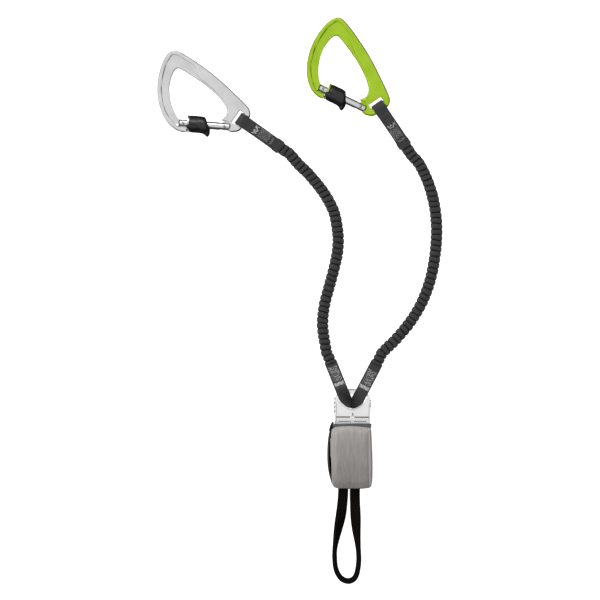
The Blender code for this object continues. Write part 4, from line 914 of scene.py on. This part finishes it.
def sleeve_mesh(name):
    angles = [2 * math.pi * i / SLEEVE_SIDES for i in range(SLEEVE_SIDES)]
    for mark in (SLEEVE_TAB[0], SLEEVE_TAB[1], math.pi - LIP_SLOT, math.pi + LIP_SLOT):
        nearest = min(range(SLEEVE_SIDES), key=lambda i: abs(angles[i] - mark))
        angles[nearest] = mark
        angles[nearest + 1] = mark + 0.004
    rows = []
    for k in range(SLEEVE_STEPS + 1):
        share = k / SLEEVE_STEPS
        share = 0.04 * (share / 0.08) if share < 0.08 else 0.04 + 0.96 * (share - 0.08) / 0.92
        radius_share = between(STATION_SHARES, RADIUS_SHARES, share)
        spur_share = between(STATION_SHARES, SPUR_SHARES, share)
        row = []
        for angle in angles:
            away = abs(angle - math.pi) / math.radians(30.0)
            spur = SPUR_REACH * spur_share * max(0.0, 1 - away ** 2) ** 1.5
            x = SLEEVE_FRONT + (SLEEVE_LENGTH - SLEEVE_SLANT * math.cos(angle)) * share
            radius = SLEEVE_RADIUS * radius_share
            if math.sin(angle) > 0:
                side = eased(math.sin(angle) / 0.35) * eased((1.0 - share) / 0.12)
                rise = step_rise(x, radius * math.cos(angle)) - STEP_BASE
                radius += rise * side * eased(share / 0.05)
            row.append((x, radius + spur, angle))
        rows.append(row)
    end = [station[0] for station in rows[-1]]
    rows.append([(x, SLEEVE_BORE + 0.0004, angle) for x, angle in zip(end, angles)])
    rows.append([(x - 0.0004, SLEEVE_BORE, angle) for x, angle in zip(end, angles)])
    cup_floor = SLEEVE_FRONT + SLEEVE_CUP_DEPTH
    for x, radius in ((cup_floor, SLEEVE_BORE), (cup_floor, SLEEVE_CUP), (SLEEVE_FRONT, SLEEVE_CUP)):
        rows.append([(x, radius, angle) for angle in angles])
    bm = bmesh.new()
    rings = []
    for row in rows:
        ring = []
        for x, radius, angle in row:
            if abs(angle - math.pi) < LIP_SLOT + 0.002 and x < cup_floor:
                x = cup_floor - 0.00001 * (radius - SLEEVE_BORE) / SLEEVE_RADIUS
            elif SLEEVE_TAB[0] <= angle <= SLEEVE_TAB[1] + 0.001 and x <= SLEEVE_FRONT + 1e-6:
                x -= SLEEVE_TAB[2]
            ring.append(bm.verts.new((x, radius * math.cos(angle), radius * math.sin(angle))))
        rings.append(ring)
    join_rings(bm, rings + rings[:1])
    return closed_mesh(bm, name, 48.0)


# %% Both sleeves
for prefix, place in (("silver", (-0.1523, 0.3965, 0.0102)), ("green", (0.0109, 0.4202, 0.0102))):
    mesh = sleeve_mesh(prefix + "_thumb_sleeve")
    turn = math.radians(GATE_TURN[prefix])
    mesh.transform(Matrix.Translation(place) @ Matrix.Rotation(turn, 4, "Z"))
    sleeve = add_piece(prefix + "_thumb_sleeve", mesh, SLEEVE_BLACK, prefix + "_lock")
    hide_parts(prefix + "_lock_sleeve")
    print(sleeve.name, len(mesh.polygons), "faces")

# %% [markdown]
# ## Straps
# Webbing is a flat tube of cloth, pressed flat, with soft round edges. `strap_mesh` runs such a section
# through a list of stations and stores the two measures that the weave is drawn from. The loop on a
# carabiner is one length of it: it lies back on itself, goes round the bar and returns underneath.


# %% Strap section
def strap_section(half_width, half_thickness):
    """Points of a flat section with round edges, each with its measure across the strap."""
    corner = min(half_thickness, 0.0006)
    flat = half_width - corner
    points = []
    for side in (1, -1):
        for k in range(9):
            across = side * flat * (k / 4 - 1)
            points.append((across, side * half_thickness, across))
        for degrees in (60, 30, 0, -30, -60):
            angle = math.radians(degrees)
            across = side * (flat + corner * math.cos(angle))
            rise = side * (half_thickness - corner + corner * math.sin(angle) if degrees > 0 else
                           corner - half_thickness + corner * math.sin(angle) if degrees < 0 else 0.0)
            points.append((across, rise, side * (flat + corner * (1 - angle / 2))))
    return points


def strap_mesh(name, stations):
    """Strap through stations of (middle, across, up, half width, half thickness, along)."""
    bm = bmesh.new()
    along_layer = bm.verts.layers.float.new("along")
    across_layer = bm.verts.layers.float.new("across")
    rings = []
    for middle, aside, up, half_width, half_thickness, along in stations:
        ring = []
        for across, rise, measured in strap_section(half_width, half_thickness):
            vertex = bm.verts.new(middle + aside * across + up * rise)
            vertex[along_layer] = along
            vertex[across_layer] = measured
            ring.append(vertex)
        rings.append(ring)
    join_rings(bm, rings)
    bm.faces.new(rings[0])
    bm.faces.new(rings[-1])
    return closed_mesh(bm, name, 50.0)


# %% Loops on the carabiners
BAR_LOOP_RADIUS = 0.00545
BAR_LOOP_PLY = 0.00060
SEWN_PLY = 0.00070
NECK_START = (0.00219, 0.00499)
NECK_END = (0.0174, 0.00075)
LOOP_DROP = SILVER_BAR.z - ARM_HEIGHT
PLY_STEP = 0.0106
PLY_STEP_RISE = 0.00034
LOOP_OVER_ARM = 0.0012
LOOP_STEPS = 46
ARC_STEPS = 28
LOOP_HALF_WIDTH = 0.0075
LOOP_FLARE = 0.0007


def bar_loop_line(fall_start):
    """Middle line of the upper ply from the arm to the bar, as (x, z, how far the strap falls)."""
    spots = []
    for k in range(LOOP_STEPS + 1):
        x = BAR_LOOP_LENGTH + LOOP_OVER_ARM
        x -= (BAR_LOOP_LENGTH + LOOP_OVER_ARM - NECK_START[0]) * k / LOOP_STEPS
        fall = LOOP_DROP * eased((x - fall_start) / (BAR_LOOP_LENGTH - fall_start))
        slope = (NECK_START[1] - NECK_END[1]) / (NECK_START[0] - NECK_END[0])
        over = NECK_START[1] + (x - NECK_START[0]) * slope - NECK_END[1]
        z = NECK_END[1] + (over + math.sqrt(over ** 2 + 0.00035 ** 2)) / 2
        spots.append((x, z, fall))
    return spots


def bar_loop_mesh(name, bar, turn, fall_start):
    ahead = Vector((math.cos(turn), math.sin(turn), 0.0))
    aside = Vector((-ahead.y, ahead.x, 0.0))
    rise = Vector((0.0, 0.0, 1.0))
    upper = bar_loop_line(fall_start)
    flat = [(x, z, fall, 1) for x, z, fall in upper]
    lean = math.atan2(NECK_START[1], NECK_START[0])
    arc = []
    for k in range(1, ARC_STEPS):
        angle = lean + (2 * math.pi - 2 * lean) * k / ARC_STEPS
        arc.append((BAR_LOOP_RADIUS * math.cos(angle), BAR_LOOP_RADIUS * math.sin(angle), 0.0, 0))
    under = [(x, -z, fall, -1) for x, z, fall in reversed(upper)]
    path = flat + arc + under
    stations = []
    along = 0.0
    for k, (x, z, fall, side) in enumerate(path):
        before = path[max(k - 1, 0)]
        after = path[min(k + 1, len(path) - 1)]
        way = Vector((after[0] - before[0], 0.0, (after[1] - after[2]) - (before[1] - before[2])))
        way.normalize()
        if k:
            along += math.hypot(x - before[0], (z - fall) - (before[1] - before[2]))
        up = ahead * way.z - rise * way.x
        sewn = eased((x - 0.012) / 0.006)
        thick = BAR_LOOP_PLY + (SEWN_PLY - BAR_LOOP_PLY) * sewn
        step = PLY_STEP_RISE if side == 1 and x > PLY_STEP else 0.0
        width = LOOP_HALF_WIDTH + LOOP_FLARE * eased((x - 0.0455) / 0.005)
        middle = bar + ahead * x + rise * (z - fall) + up * step
        stations.append((middle, aside, up, width, thick + step, along))
    return strap_mesh(name, stations)


def dress_bar_loop(prefix, bar, turn, fall_start):
    mesh = bar_loop_mesh(prefix + "_bar_loop", bar, turn, fall_start)
    piece = add_piece(prefix + "_bar_loop", mesh, ARM_BLACK, "lanyard")
    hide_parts(prefix + "_arm_carabiner_loop")
    return piece


silver_bar_loop = dress_bar_loop("silver", SILVER_BAR, SILVER_STRAP_TURN, 0.0263)
green_bar_loop = dress_bar_loop("green", GREEN_BAR, GREEN_STRAP_TURN, 0.0318)
print("bar loops:", len(silver_bar_loop.data.polygons), "faces each")

# %% [markdown]
# ## Loops in the absorber's eye
# The lower loops are the same webbing. They pass through the eye, so only their rounded ends lie over
# the white webbing. The CAD solids already run that way, and they get soft edges here.


# %% Eye loops
def point_measure(mesh, name, reading):
    """Stores a number on each point, read from its place."""
    layer = mesh.attributes.new(name, "FLOAT", "POINT")
    for vertex in mesh.vertices:
        layer.data[vertex.index].value = reading(vertex.co)


def strap_copy(node, material, origin, turn, edge, nudge=None, shade=None):
    """Copy of a sewn strap with soft edges and its two measures. `shade` marks the folds that get painted
    shade.
    """
    piece = hard_copy(node, material, "lanyard", edge, 30.0, nudge)
    mesh = piece.data
    ahead = Vector((math.cos(turn), math.sin(turn), 0.0))
    aside = Vector((-math.sin(turn), math.cos(turn), 0.0))
    point_measure(mesh, "along", lambda spot: (spot - origin).dot(ahead))
    point_measure(mesh, "across", lambda spot: (spot - origin).dot(aside) + (spot - origin).z)
    if shade:
        point_measure(mesh, "fold", shade)
    return piece


EYE_LOOP_OVER_ARM = 0.0018


def fitted(start, ahead):
    """The two loops press against each other in the eye, and their ends reach a little over the arms."""

    def nudge(spot):
        if abs(spot.x) < 0.0003:
            spot.x = math.copysign(0.00002, spot.x)
        if (spot - start).xy.dot(ahead.xy) < 0.0006:
            spot -= ahead * EYE_LOOP_OVER_ARM

    return nudge


def shaded_meeting(spot):
    """Painted shade where the loops press together."""
    return 1.0 if abs(spot.x) < 0.0009 and spot.y < 0.0760 else 0.0


EYE_LOOPS = {}
for prefix, start, end in (("silver", SILVER_ARM_END, SILVER_TONGUE_END),
                           ("green", GREEN_ARM_END, GREEN_TONGUE_END)):
    way = end - start
    turn = math.atan2(way.y, way.x)
    fit = fitted(start, way.normalized())
    loop = strap_copy(prefix + "_arm_absorber_loop", ARM_BLACK, start, turn, 0.0007, fit,
                      shaded_meeting)
    EYE_LOOPS[prefix] = (loop, start, turn)

# %% [markdown]
# ## The stitching of the arms
# Each sewn loop carries a bar tack and a block of rows to and fro that looks speckled, and the loops
# on the carabiners have a second, fainter tack. A tack is a dense zigzag, and a block is six or seven
# rows of small zigzags in a darker grey. About a third of its stitches are sewn again in a paler
# thread.


# %% Strap stitching
def tack(first, last, half, count):
    """Dense zigzag across the strap, and a sparser zigzag over it, sewn back the other way."""
    rows = sideways(zigzag(-half, half, first, last, count))
    rows += sideways(zigzag(half, -half, first, last, max(count // 3, 2)))
    return rows


def block(first, last, half, rows, pitch):
    """Rows of small zigzags side by side."""
    strokes = []
    reach = half / rows
    for k in range(rows):
        middle = -half + (2 * k + 1) * reach
        count = round((last - first) / pitch)
        offset = pitch * (0.5 if k % 2 else 0.0)
        low, high = middle - reach * 0.8, middle + reach * 0.8
        strokes += zigzag(first + offset, last - pitch + offset, low, high, count)
    return strokes


def scattered(strokes, keep):
    """Some of the strokes, in no visible order. keep is how many of each hundred."""
    return [stroke for k, stroke in enumerate(strokes) if (k * 7919 + k * k * 31) % 101 < keep]


def sew_seams(label, seams, strap, origin, turn):
    """Sews seams given as (part, strokes, finish, thread, arch) and the nodes that they stand for."""
    for part, strokes, finish, thread, arch, *replaced in seams:
        sew(label + part, on_strap(strokes, origin, turn), strap, finish, thread, arch, *replaced)


UPPER_SEAMS = (
    ("silver", SILVER_BAR, SILVER_STRAP_TURN, silver_bar_loop, PALE_THREAD, 0.0058,
     0.0174, 0.0229, 0.0245, 0.0405),
    ("green", GREEN_BAR, GREEN_STRAP_TURN, green_bar_loop, SHADE_THREAD, -0.0058,
     0.0246, 0.0296, 0.0310, 0.0445),
)
for prefix, bar, turn, strap, bright, edge, tack_start, tack_end, start, end in UPPER_SEAMS:
    rows = block(start, end, 0.0050, 6, 0.0017)
    tack_node = prefix + "_arm_upper_bar_tack"
    sew_seams(prefix + "_upper_", (
        ("tack", tack(tack_start, tack_end, 0.0052, 5), bright, 0.00046, 0.00036, tack_node),
        ("block", rows, DIM_THREAD, 0.00030, 0.00026),
        ("specks", scattered(rows, 28), SHADE_THREAD, 0.00032, 0.00030),
        ("edge_row", running(start, end, edge, 0.0016, 0.9), SHADE_THREAD, 0.00036, 0.00024),
        ("faint_tack", tack(end + 0.0012, end + 0.0040, 0.0046, 6), SHADE_THREAD, 0.00022, 0.00022),
    ), strap, bar, turn)

for prefix, first, last, near, far in (("silver", 0.0245, 0.0290, 0.0042, 0.0238),
                                       ("green", 0.0294, 0.0338, 0.0088, 0.0286)):
    rows = block(near, far, 0.0056, 7, 0.0016)
    tack_node = prefix + "_arm_lower_bar_tack"
    sew_seams(prefix + "_lower_", (
        ("tack", tack(first, last, 0.0058, 13), PALE_THREAD, 0.00046, 0.00040, tack_node),
        ("block", rows, DIM_THREAD, 0.00030, 0.00028),
        ("specks", scattered(rows, 34), PALE_THREAD, 0.00034, 0.00034),
    ), *EYE_LOOPS[prefix])

# %% [markdown]
# ## The absorber's eye
# The white webbing is the end of the tear strip, folded to an eye and sewn across. Dark whip stitches
# bind its left selvedge and a little of the right one. Two dark rows cross it above the pouch and one
# near its far end, and fine dotted rows run up both sides.

# %% Eye and its rows
middle = Vector((0, 0, 0))
eye_web = strap_copy("absorber_eye", WHITE_WEBBING, middle, math.pi / 2, 0.0009)
strap_copy("tear_webbing_pack", WHITE_WEBBING, middle, math.pi / 2, 0.0004)

rows = running(-0.0186, -0.0016, 0.0482, 0.0017, 0.8) + running(0.0034, 0.0212, 0.0480, 0.0017, 0.8)
rows += zigzag(-0.0182, -0.0022, 0.0476, 0.0486, 15) + zigzag(0.0040, 0.0208, 0.0474, 0.0484, 15)
sew("eye_dark_rows", rows, eye_web, EYE_THREAD, 0.00046, 0.00030)
fine = running(-0.0150, 0.0000, 0.0427, 0.0021, 0.7) + running(0.0030, 0.0180, 0.0427, 0.0021, 0.7)
fine += [((0.0009, 0.0531), (0.0015, 0.0511)), ((0.0013, 0.0528), (0.0018, 0.0508))]
sew("eye_fine_row", fine, eye_web, EYE_THREAD, 0.00040, 0.00026)
dotted = running(0.0440, 0.0650, -0.0180, 0.0019, 0.55) + running(0.0440, 0.0640, 0.0209, 0.0019, 0.55)
dotted = sideways(dotted)
dotted += [((0.0012, 0.0508), (0.0004, 0.0490)), ((0.0017, 0.0508), (0.0026, 0.0492))]
sew("eye_dotted_rows", dotted, eye_web, EYE_GREY_THREAD, 0.00034, 0.00020)
whip = [((-0.0210, 0.0442 + 0.0050 * k), (-0.0195, 0.0460 + 0.0050 * k)) for k in range(6)]
whip += running(-0.0036, 0.0062, 0.0808, 0.0020, 0.8)
whip += [((0.0222, 0.0600 + 0.0034 * k), (0.0226, 0.0620 + 0.0034 * k)) for k in range(3)]
sew("eye_whip_stitches", whip, eye_web, EYE_THREAD, 0.00048, 0.00032)

# %% [markdown]
# ## The pouch as cloth
# The pouch is a small sewn bag, packed tight with folded webbing, so its front stands up like a pillow
# and its black back and sides bulge to the left. Blender's cloth solver begins that form: each part
# starts a little too flat, air presses on it for twenty frames, and the sewn edges are held. No point
# may move further than a cap. Half of the front's moving points reach it, so the cap and not the solver
# shapes the middle of the front. On the back hardly any do. The solver is tuned for things of about a
# metre, so a piece is enlarged twenty times while it runs.

# %% Cloth helpers
CLOTH_SCALE = 20.0
CLOTH_FRAMES = 20


def swell(piece, pressure, cap, held):
    """Cloth with air behind it. Points that `held` names stay, and none moves further than the cap."""
    mesh = piece.data
    before = [vertex.co.copy() for vertex in mesh.vertices]
    group = piece.vertex_groups.new(name="held")
    group.add([vertex.index for vertex in mesh.vertices if held(vertex.co)], 1.0, "REPLACE")
    mesh.transform(Matrix.Scale(CLOTH_SCALE, 4))
    cloth = piece.modifiers.new("cloth", "CLOTH")
    cloth.settings.quality = 5
    cloth.settings.mass = 0.25
    cloth.settings.tension_stiffness = 12.0
    cloth.settings.compression_stiffness = 12.0
    cloth.settings.bending_stiffness = 0.6
    cloth.settings.use_pressure = True
    cloth.settings.uniform_pressure_force = pressure
    cloth.settings.effector_weights.gravity = 0.0
    cloth.settings.vertex_group_mass = group.name
    cloth.collision_settings.use_collision = False
    cloth.point_cache.frame_start = 1
    cloth.point_cache.frame_end = CLOTH_FRAMES
    for frame_number in range(1, CLOTH_FRAMES + 1):
        scene.frame_set(frame_number)
    settle(piece)
    scene.frame_set(1)
    mesh = piece.data
    mesh.transform(Matrix.Scale(1.0 / CLOTH_SCALE, 4))
    furthest = 0.0
    for vertex, start in zip(mesh.vertices, before):
        way = vertex.co - start
        furthest = max(furthest, way.length)
        if way.length > cap:
            vertex.co = start + way * (cap / way.length)
    piece.vertex_groups.clear()
    print(piece.name, "swelled by up to", round(furthest * 1000, 2), "mm, kept to", cap * 1000)


def closed_line(points, steps):
    """Smooth closed line through points."""
    spots = [Vector(point) for point in points]
    line = []
    for k in range(len(spots)):
        four = [spots[(k + j) % len(spots)] for j in (-1, 0, 1, 2)]
        line += [curve_spot(*four, i / steps) for i in range(steps)]
    return line


def stacked(name, line, levels, middle, closed_top=True):
    """Skin through copies of a line, each (height, share of the line's size round the middle)."""
    bm = bmesh.new()
    centre_x, centre_y = middle
    rings = []
    for height, share in levels:
        rings.append([bm.verts.new((centre_x + (spot.x - centre_x) * share,
                                    centre_y + (spot.y - centre_y) * share, height)) for spot in line])
    join_rings(bm, rings)
    bm.faces.new(rings[0])
    if closed_top:
        bm.faces.new(rings[-1])
    return closed_mesh(bm, name)


def remeshed(piece, voxel):
    """Even faces, with the steps that the even grid leaves along slanting edges smoothed out."""
    remesh = piece.modifiers.new("even_faces", "REMESH")
    remesh.mode = "VOXEL"
    remesh.voxel_size = voxel
    ease = piece.modifiers.new("eased", "SMOOTH")
    ease.factor = 0.5
    ease.iterations = 4
    settle(piece)


def softened(piece):
    soft = piece.modifiers.new("soft", "SUBSURF")
    soft.levels = 1
    soft.render_levels = 1
    settle(piece)
    piece.data.shade_smooth()


# %% Front of the pouch
FRONT_LINE = [
    (-0.0204, 0.0372), (-0.0138, 0.0388), (-0.0004, 0.0393), (0.0113, 0.0386), (0.0216, 0.0370),
    (0.0232, 0.0345), (0.0240, 0.0173), (0.0248, 0.0006), (0.0249, -0.0161), (0.0247, -0.0311),
    (0.0238, -0.0350), (0.0205, -0.0369), (0.0063, -0.0371), (-0.0104, -0.0371), (-0.0188, -0.0368),
    (-0.0229, -0.0345), (-0.0243, -0.0290), (-0.0250, -0.0161), (-0.0256, 0.0006), (-0.0259, 0.0140),
    (-0.0252, 0.0290), (-0.0240, 0.0340),
]
FRONT_MIDDLE = (0.0, 0.0)
FRONT_LEVELS = [(0.0215, 0.95), (0.0216, 0.985), (0.0224, 1.0), (0.0236, 0.995), (0.0246, 0.965),
                (0.0252, 0.90), (0.0255, 0.78)]
SEAM_PLACE = 0.0213
SEAM_STITCHES = 42
FRONT_FACE_HEIGHT = 0.0232


def seam_at(y):
    """The side seam leans a little, so its place depends on y."""
    return SEAM_PLACE - 0.0006 * y / 0.03


front_mesh = stacked("pouch_front", closed_line(FRONT_LINE, 6), FRONT_LEVELS, FRONT_MIDDLE)
front = add_piece("pouch_front", front_mesh, POUCH_GREY, "lanyard")
remeshed(front, 0.0016)
swell(front, 1.6, 0.0014, lambda spot: spot.z < 0.0226)


def press_line(piece, reach, depth):
    """Sinks the cloth along a nearly upright line, which leans the other way than the side seam."""
    for vertex in piece.data.vertices:
        if vertex.co.z > FRONT_FACE_HEIGHT:
            away = (vertex.co.x - SEAM_PLACE - 0.0006 * vertex.co.y / 0.03) / reach
            vertex.co.z -= depth * math.exp(-away * away)


softened(front)
press_line(front, 0.0007, 0.00045)
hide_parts("pouch_front_panel")
print("pouch front:", len(front.data.polygons), "faces")

seam = []
for k in range(SEAM_STITCHES):
    y = -0.0320 + 0.0016 * k
    seam.append(((seam_at(y) - 0.0006, y), (seam_at(y) + 0.0006, y + 0.0010)))
sew("pouch_side_seam", seam, front, POUCH_THREAD, 0.00036, 0.00026)

# %% Back and sides of the pouch
BACK_LINE = [
    (-0.0216, 0.0376), (-0.0138, 0.0378), (-0.0004, 0.0378), (0.0113, 0.0378), (0.0206, 0.0374),
    (0.0226, 0.0345), (0.0234, 0.0173), (0.0242, 0.0006), (0.0243, -0.0161), (0.0240, -0.0311),
    (0.0228, -0.0352), (0.0200, -0.0368), (0.0063, -0.0372), (-0.0104, -0.0372), (-0.0186, -0.0368),
    (-0.0222, -0.0345), (-0.0246, -0.0270), (-0.0272, -0.0175), (-0.0284, -0.0060), (-0.0284, 0.0060),
    (-0.0276, 0.0210), (-0.0262, 0.0310),
]
BACK_LEVELS = [(0.0004, 0.90), (0.0002, 0.955), (0.0012, 0.985), (0.0030, 0.998), (0.0053, 1.0),
               (0.0068, 1.0), (0.0082, 1.0), (0.0095, 1.0), (0.0108, 1.0), (0.0120, 1.0), (0.0136, 1.0),
               (0.0154, 1.0), (0.0172, 0.995), (0.0190, 0.985), (0.0204, 0.975), (0.0211, 0.968)]
CLOTH_THICKNESS = 0.0009
EYE_MOUTH = (-0.0219, 0.0238, 0.0080, 0.0120)
LOOP_MOUTH = (-0.0170, 0.0112, 0.0052, 0.0110)


def cut_mouths(piece):
    """Opens the bag where the eye comes out above and the tie-in loop below."""
    bm = bmesh.new()
    bm.from_mesh(piece.data)
    gone = []
    for face in bm.faces:
        middle = face.calc_center_median()
        for (left, right, low, high), above in ((EYE_MOUTH, True), (LOOP_MOUTH, False)):
            end = middle.y > 0.0340 if above else middle.y < -0.0340
            if end and left < middle.x < right and low < middle.z < high:
                gone.append(face)
    bmesh.ops.delete(bm, geom=gone, context="FACES")
    bm.to_mesh(piece.data)
    bm.free()
    return len(gone)


back_mesh = stacked("pouch_back", closed_line(BACK_LINE, 6), BACK_LEVELS, FRONT_MIDDLE, closed_top=False)
back = add_piece("pouch_back", back_mesh, POUCH_BLACK, "lanyard")
swell(back, 5.0, 0.0010, lambda spot: spot.z < 0.0025 or spot.z > 0.0205)
print("mouth faces cut:", cut_mouths(back))
wall = back.modifiers.new("wall", "SOLIDIFY")
wall.thickness = CLOTH_THICKNESS
wall.offset = -1.0
settle(back)
softened(back)
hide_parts("pouch_body")
print("pouch back:", len(back.data.polygons), "faces")

# %% Binding and corner of the pouch
BAND = [(-0.0226, 0.0378, 0.0399), (-0.0190, 0.0384, 0.0402), (-0.0100, 0.0388, 0.0405),
        (0.0010, 0.0389, 0.0408), (0.0110, 0.0384, 0.0409), (0.0190, 0.0374, 0.0408),
        (0.0236, 0.0368, 0.0407)]
BAND_TILT = math.radians(24.0)
BAND_HALF_PLY = 0.0008
BAND_HEIGHT = 0.0228


def band_mesh(name):
    """The binding, through places given as (x, lower edge, upper edge)."""
    spots = smooth_line(BAND, 6)
    stations = []
    along = 0.0
    for k, spot in enumerate(spots):
        before, after = spots[max(k - 1, 0)], spots[min(k + 1, len(spots) - 1)]
        climb = (after.y + after.z - before.y - before.z) / 2
        way = Vector((after.x - before.x, climb, 0.0)).normalized()
        aside = Vector((-way.y, way.x, 0.0)) * math.cos(BAND_TILT)
        aside -= Vector((0.0, 0.0, math.sin(BAND_TILT)))
        up = way.cross(aside)
        half = (spot.z - spot.y) / 2 + BAND_HALF_PLY
        middle = Vector((spot.x, (spot.y + spot.z) / 2 - 0.0006, BAND_HEIGHT))
        stations.append((middle, aside, up, half, BAND_HALF_PLY, along))
        along += (after - before).length / 2
    return strap_mesh(name, stations)


band = add_piece("pouch_binding", band_mesh("pouch_binding"), BINDING_GREY, "lanyard")
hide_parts("pouch_mouth_binding")
CORNER_LINE = [(-0.0271, 0.0318), (-0.0267, 0.0352), (-0.0254, 0.0390), (-0.0237, 0.0420),
               (-0.0221, 0.0433), (-0.0214, 0.0414), (-0.0218, 0.0384), (-0.0238, 0.0346),
               (-0.0254, 0.0316)]
CORNER_LEVELS = [(0.0130, 0.80), (0.0134, 0.96), (0.0150, 1.0), (0.0200, 1.0), (0.0214, 0.95), (0.0220, 0.75)]
CORNER_MIDDLE = (-0.0242, 0.0378)
corner_mesh = stacked("pouch_gusset_corner", closed_line(CORNER_LINE, 4), CORNER_LEVELS, CORNER_MIDDLE)
corner = add_piece("pouch_gusset_corner", corner_mesh, POUCH_BLACK, "lanyard")
softened(corner)
print("binding and corner:", len(band.data.polygons) + len(corner.data.polygons), "faces")

# %% [markdown]
# ## The tie-in loop
# A doubled black webbing is sewn into the foot of the pouch. Its two strands leave the pouch lying
# flat and turn on edge where the loop bends round, because webbing bends easily only across its flat.
# The same strap section follows that route and turns as it goes.

# %% Tie-in loop
POUCH_FOOT = -0.03785
TIE_IN_ROUTE = [
    (-0.0099, -0.0385), (-0.0106, -0.0516), (-0.0127, -0.0696), (-0.0162, -0.0876), (-0.0193, -0.1056),
    (-0.0202, -0.1146), (-0.0201, -0.1236), (-0.0191, -0.1326), (-0.0162, -0.1407), (-0.0112, -0.1468),
    (-0.0038, -0.1493), (0.0026, -0.1468), (0.0063, -0.1407), (0.0080, -0.1326), (0.0088, -0.1236),
    (0.0085, -0.1146), (0.0077, -0.1056), (0.0059, -0.0876), (0.0049, -0.0696), (0.0042, -0.0516),
    (0.0041, -0.0385),
]
TIE_ROOT = -0.03095
TIE_HALF_WIDTH = 0.0061
TIE_HALF_PLY = 0.0021
TIE_TWIST = math.radians(80.0)
TIE_HEIGHT = 0.0080


def tie_in_stations():
    route = [(TIE_IN_ROUTE[0][0], TIE_ROOT)] + TIE_IN_ROUTE + [(TIE_IN_ROUTE[-1][0], TIE_ROOT)]
    line = smooth_line([(x, y, 0.0) for x, y in route], 8)
    standing = TIE_HALF_WIDTH * math.sin(TIE_TWIST) + TIE_HALF_PLY * math.cos(TIE_TWIST)
    lowest = min(spot.y for spot in line)
    rise = Vector((0.0, 0.0, 1.0))
    stations = []
    along = 0.0
    for k, spot in enumerate(line):
        way = (line[min(k + 1, len(line) - 1)] - line[max(k - 1, 0)]).normalized()
        side = way.cross(rise)
        depth = (POUCH_FOOT - spot.y) / (POUCH_FOOT - lowest)
        share = eased((depth - 0.08) / 0.62)
        turn = TIE_TWIST * share
        broad = side * math.cos(turn) + rise * math.sin(turn)
        thin = broad.cross(way)
        middle = Vector((spot.x, spot.y, TIE_HEIGHT + (standing - TIE_HEIGHT) * share))
        stations.append((middle, broad, thin, TIE_HALF_WIDTH, TIE_HALF_PLY, along))
        if k < len(line) - 1:
            along += (line[k + 1] - spot).length
    return stations


tie_loop = add_piece("tie_in_webbing", strap_mesh("tie_in_webbing", tie_in_stations()), TIE_BLACK, "lanyard")
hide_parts("tie_in_loop")
print("tie-in loop:", len(tie_loop.data.polygons), "faces")

# %% [markdown]
# ## Hidden pieces
# The elastic cores, springs and plungers sit inside other parts. They stay as the CAD model has them
# and only get their finishes.

# %% Hidden pieces
for prefix in ("silver", "green"):
    for part, finish in (("_arm_elastic_core", RUBBER), ("_gate_plunger", RIVET_METAL),
                         ("_gate_spring", RIVET_METAL)):
        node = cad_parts[prefix + part]
        node.data.materials.clear()
        node.data.materials.append(finish)

# %% [markdown]
# ## Floor and light
# The photograph is pure white all round the lanyard: nothing casts a dark shadow, and white shows even
# through the narrow webbing slots. So the floor stands for a light table, matt, white and glowing. The
# world is a pale studio that falls off towards the horizon, more to the right and the bottom of the
# picture, so that rounded metal edges pick up a thin dark line there. Two soft boxes stand well off the
# vertical, because flat metal mirrors whatever hangs straight above it.

# %% Floor, lights and world
FLOOR_GLOW = 0.95
WORLD_STRENGTH = 0.92
LIGHT_SIDE = (-0.50, 0.34, 1.0)
LIGHT_TARGET = (-0.05, 0.2, 0.0)


def make_floor():
    bm = bmesh.new()
    bmesh.ops.create_grid(bm, x_segments=1, y_segments=1, size=3.0)
    mesh = bpy.data.meshes.new("floor")
    bm.to_mesh(mesh)
    bm.free()
    floor = bpy.data.objects.new("floor", mesh)
    scene.collection.objects.link(floor)
    material, bench, shader = start_finish("white_light_table", (0.93, 0.93, 0.93), 0.9, 0.0, 0.1)
    tone = speckle(bench, object_place(bench), 3.0, 2.0)
    wire(bench, two_tones(bench, tone, (0.925, 0.925, 0.925), (0.935, 0.935, 0.935)), shader, "Base Color")
    shader.inputs["Emission Color"].default_value = (1.0, 1.0, 1.0, 1.0)
    shader.inputs["Emission Strength"].default_value = FLOOR_GLOW
    mesh.materials.append(material)
    floor.visible_glossy = False


def add_panel(name, place, size, power):
    """Square soft box that faces the lanyard."""
    lamp = bpy.data.lights.new(name, "AREA")
    lamp.shape = "SQUARE"
    lamp.size = size
    lamp.energy = power
    holder = bpy.data.objects.new(name, lamp)
    holder.location = place
    holder.rotation_euler = (Vector(LIGHT_TARGET) - Vector(place)).to_track_quat("-Z", "Y").to_euler()
    scene.collection.objects.link(holder)


def make_world():
    """Bright above, dark low down on the right and near the bottom of the picture."""
    world = bpy.data.worlds.new("studio")
    world.use_nodes = True
    scene.world = world
    bench = NodeBench(world.node_tree)
    back = world.node_tree.nodes["Background"]
    way = bench.add("ShaderNodeTexCoord").outputs["Generated"]
    lean = bench.add("ShaderNodeVectorMath", {0: way, 1: LIGHT_SIDE}, operation="DOT_PRODUCT")
    ramp = bench.add("ShaderNodeValToRGB", {"Fac": lean.outputs["Value"]})
    ramp.color_ramp.interpolation = "B_SPLINE"
    stops = ramp.color_ramp.elements
    stops[0].position = 0.06
    stops[0].color = (0.05, 0.05, 0.05, 1.0)
    stops[1].position = 0.60
    stops[1].color = (1.0, 1.0, 1.0, 1.0)
    low = stops.new(0.30)
    low.color = (0.22, 0.22, 0.22, 1.0)
    bench.tree.links.new(ramp.outputs["Color"], back.inputs["Color"])
    back.inputs["Strength"].default_value = WORLD_STRENGTH


make_floor()
make_world()
add_panel("soft_box_top", (-0.3, 2.1, 1.5), 1.2, 14.0)
add_panel("soft_box_left", (-2.1, 0.1, 1.4), 1.2, 9.0)
scene.view_settings.view_transform = "Standard"
print("light table, two soft boxes and the studio world are in")
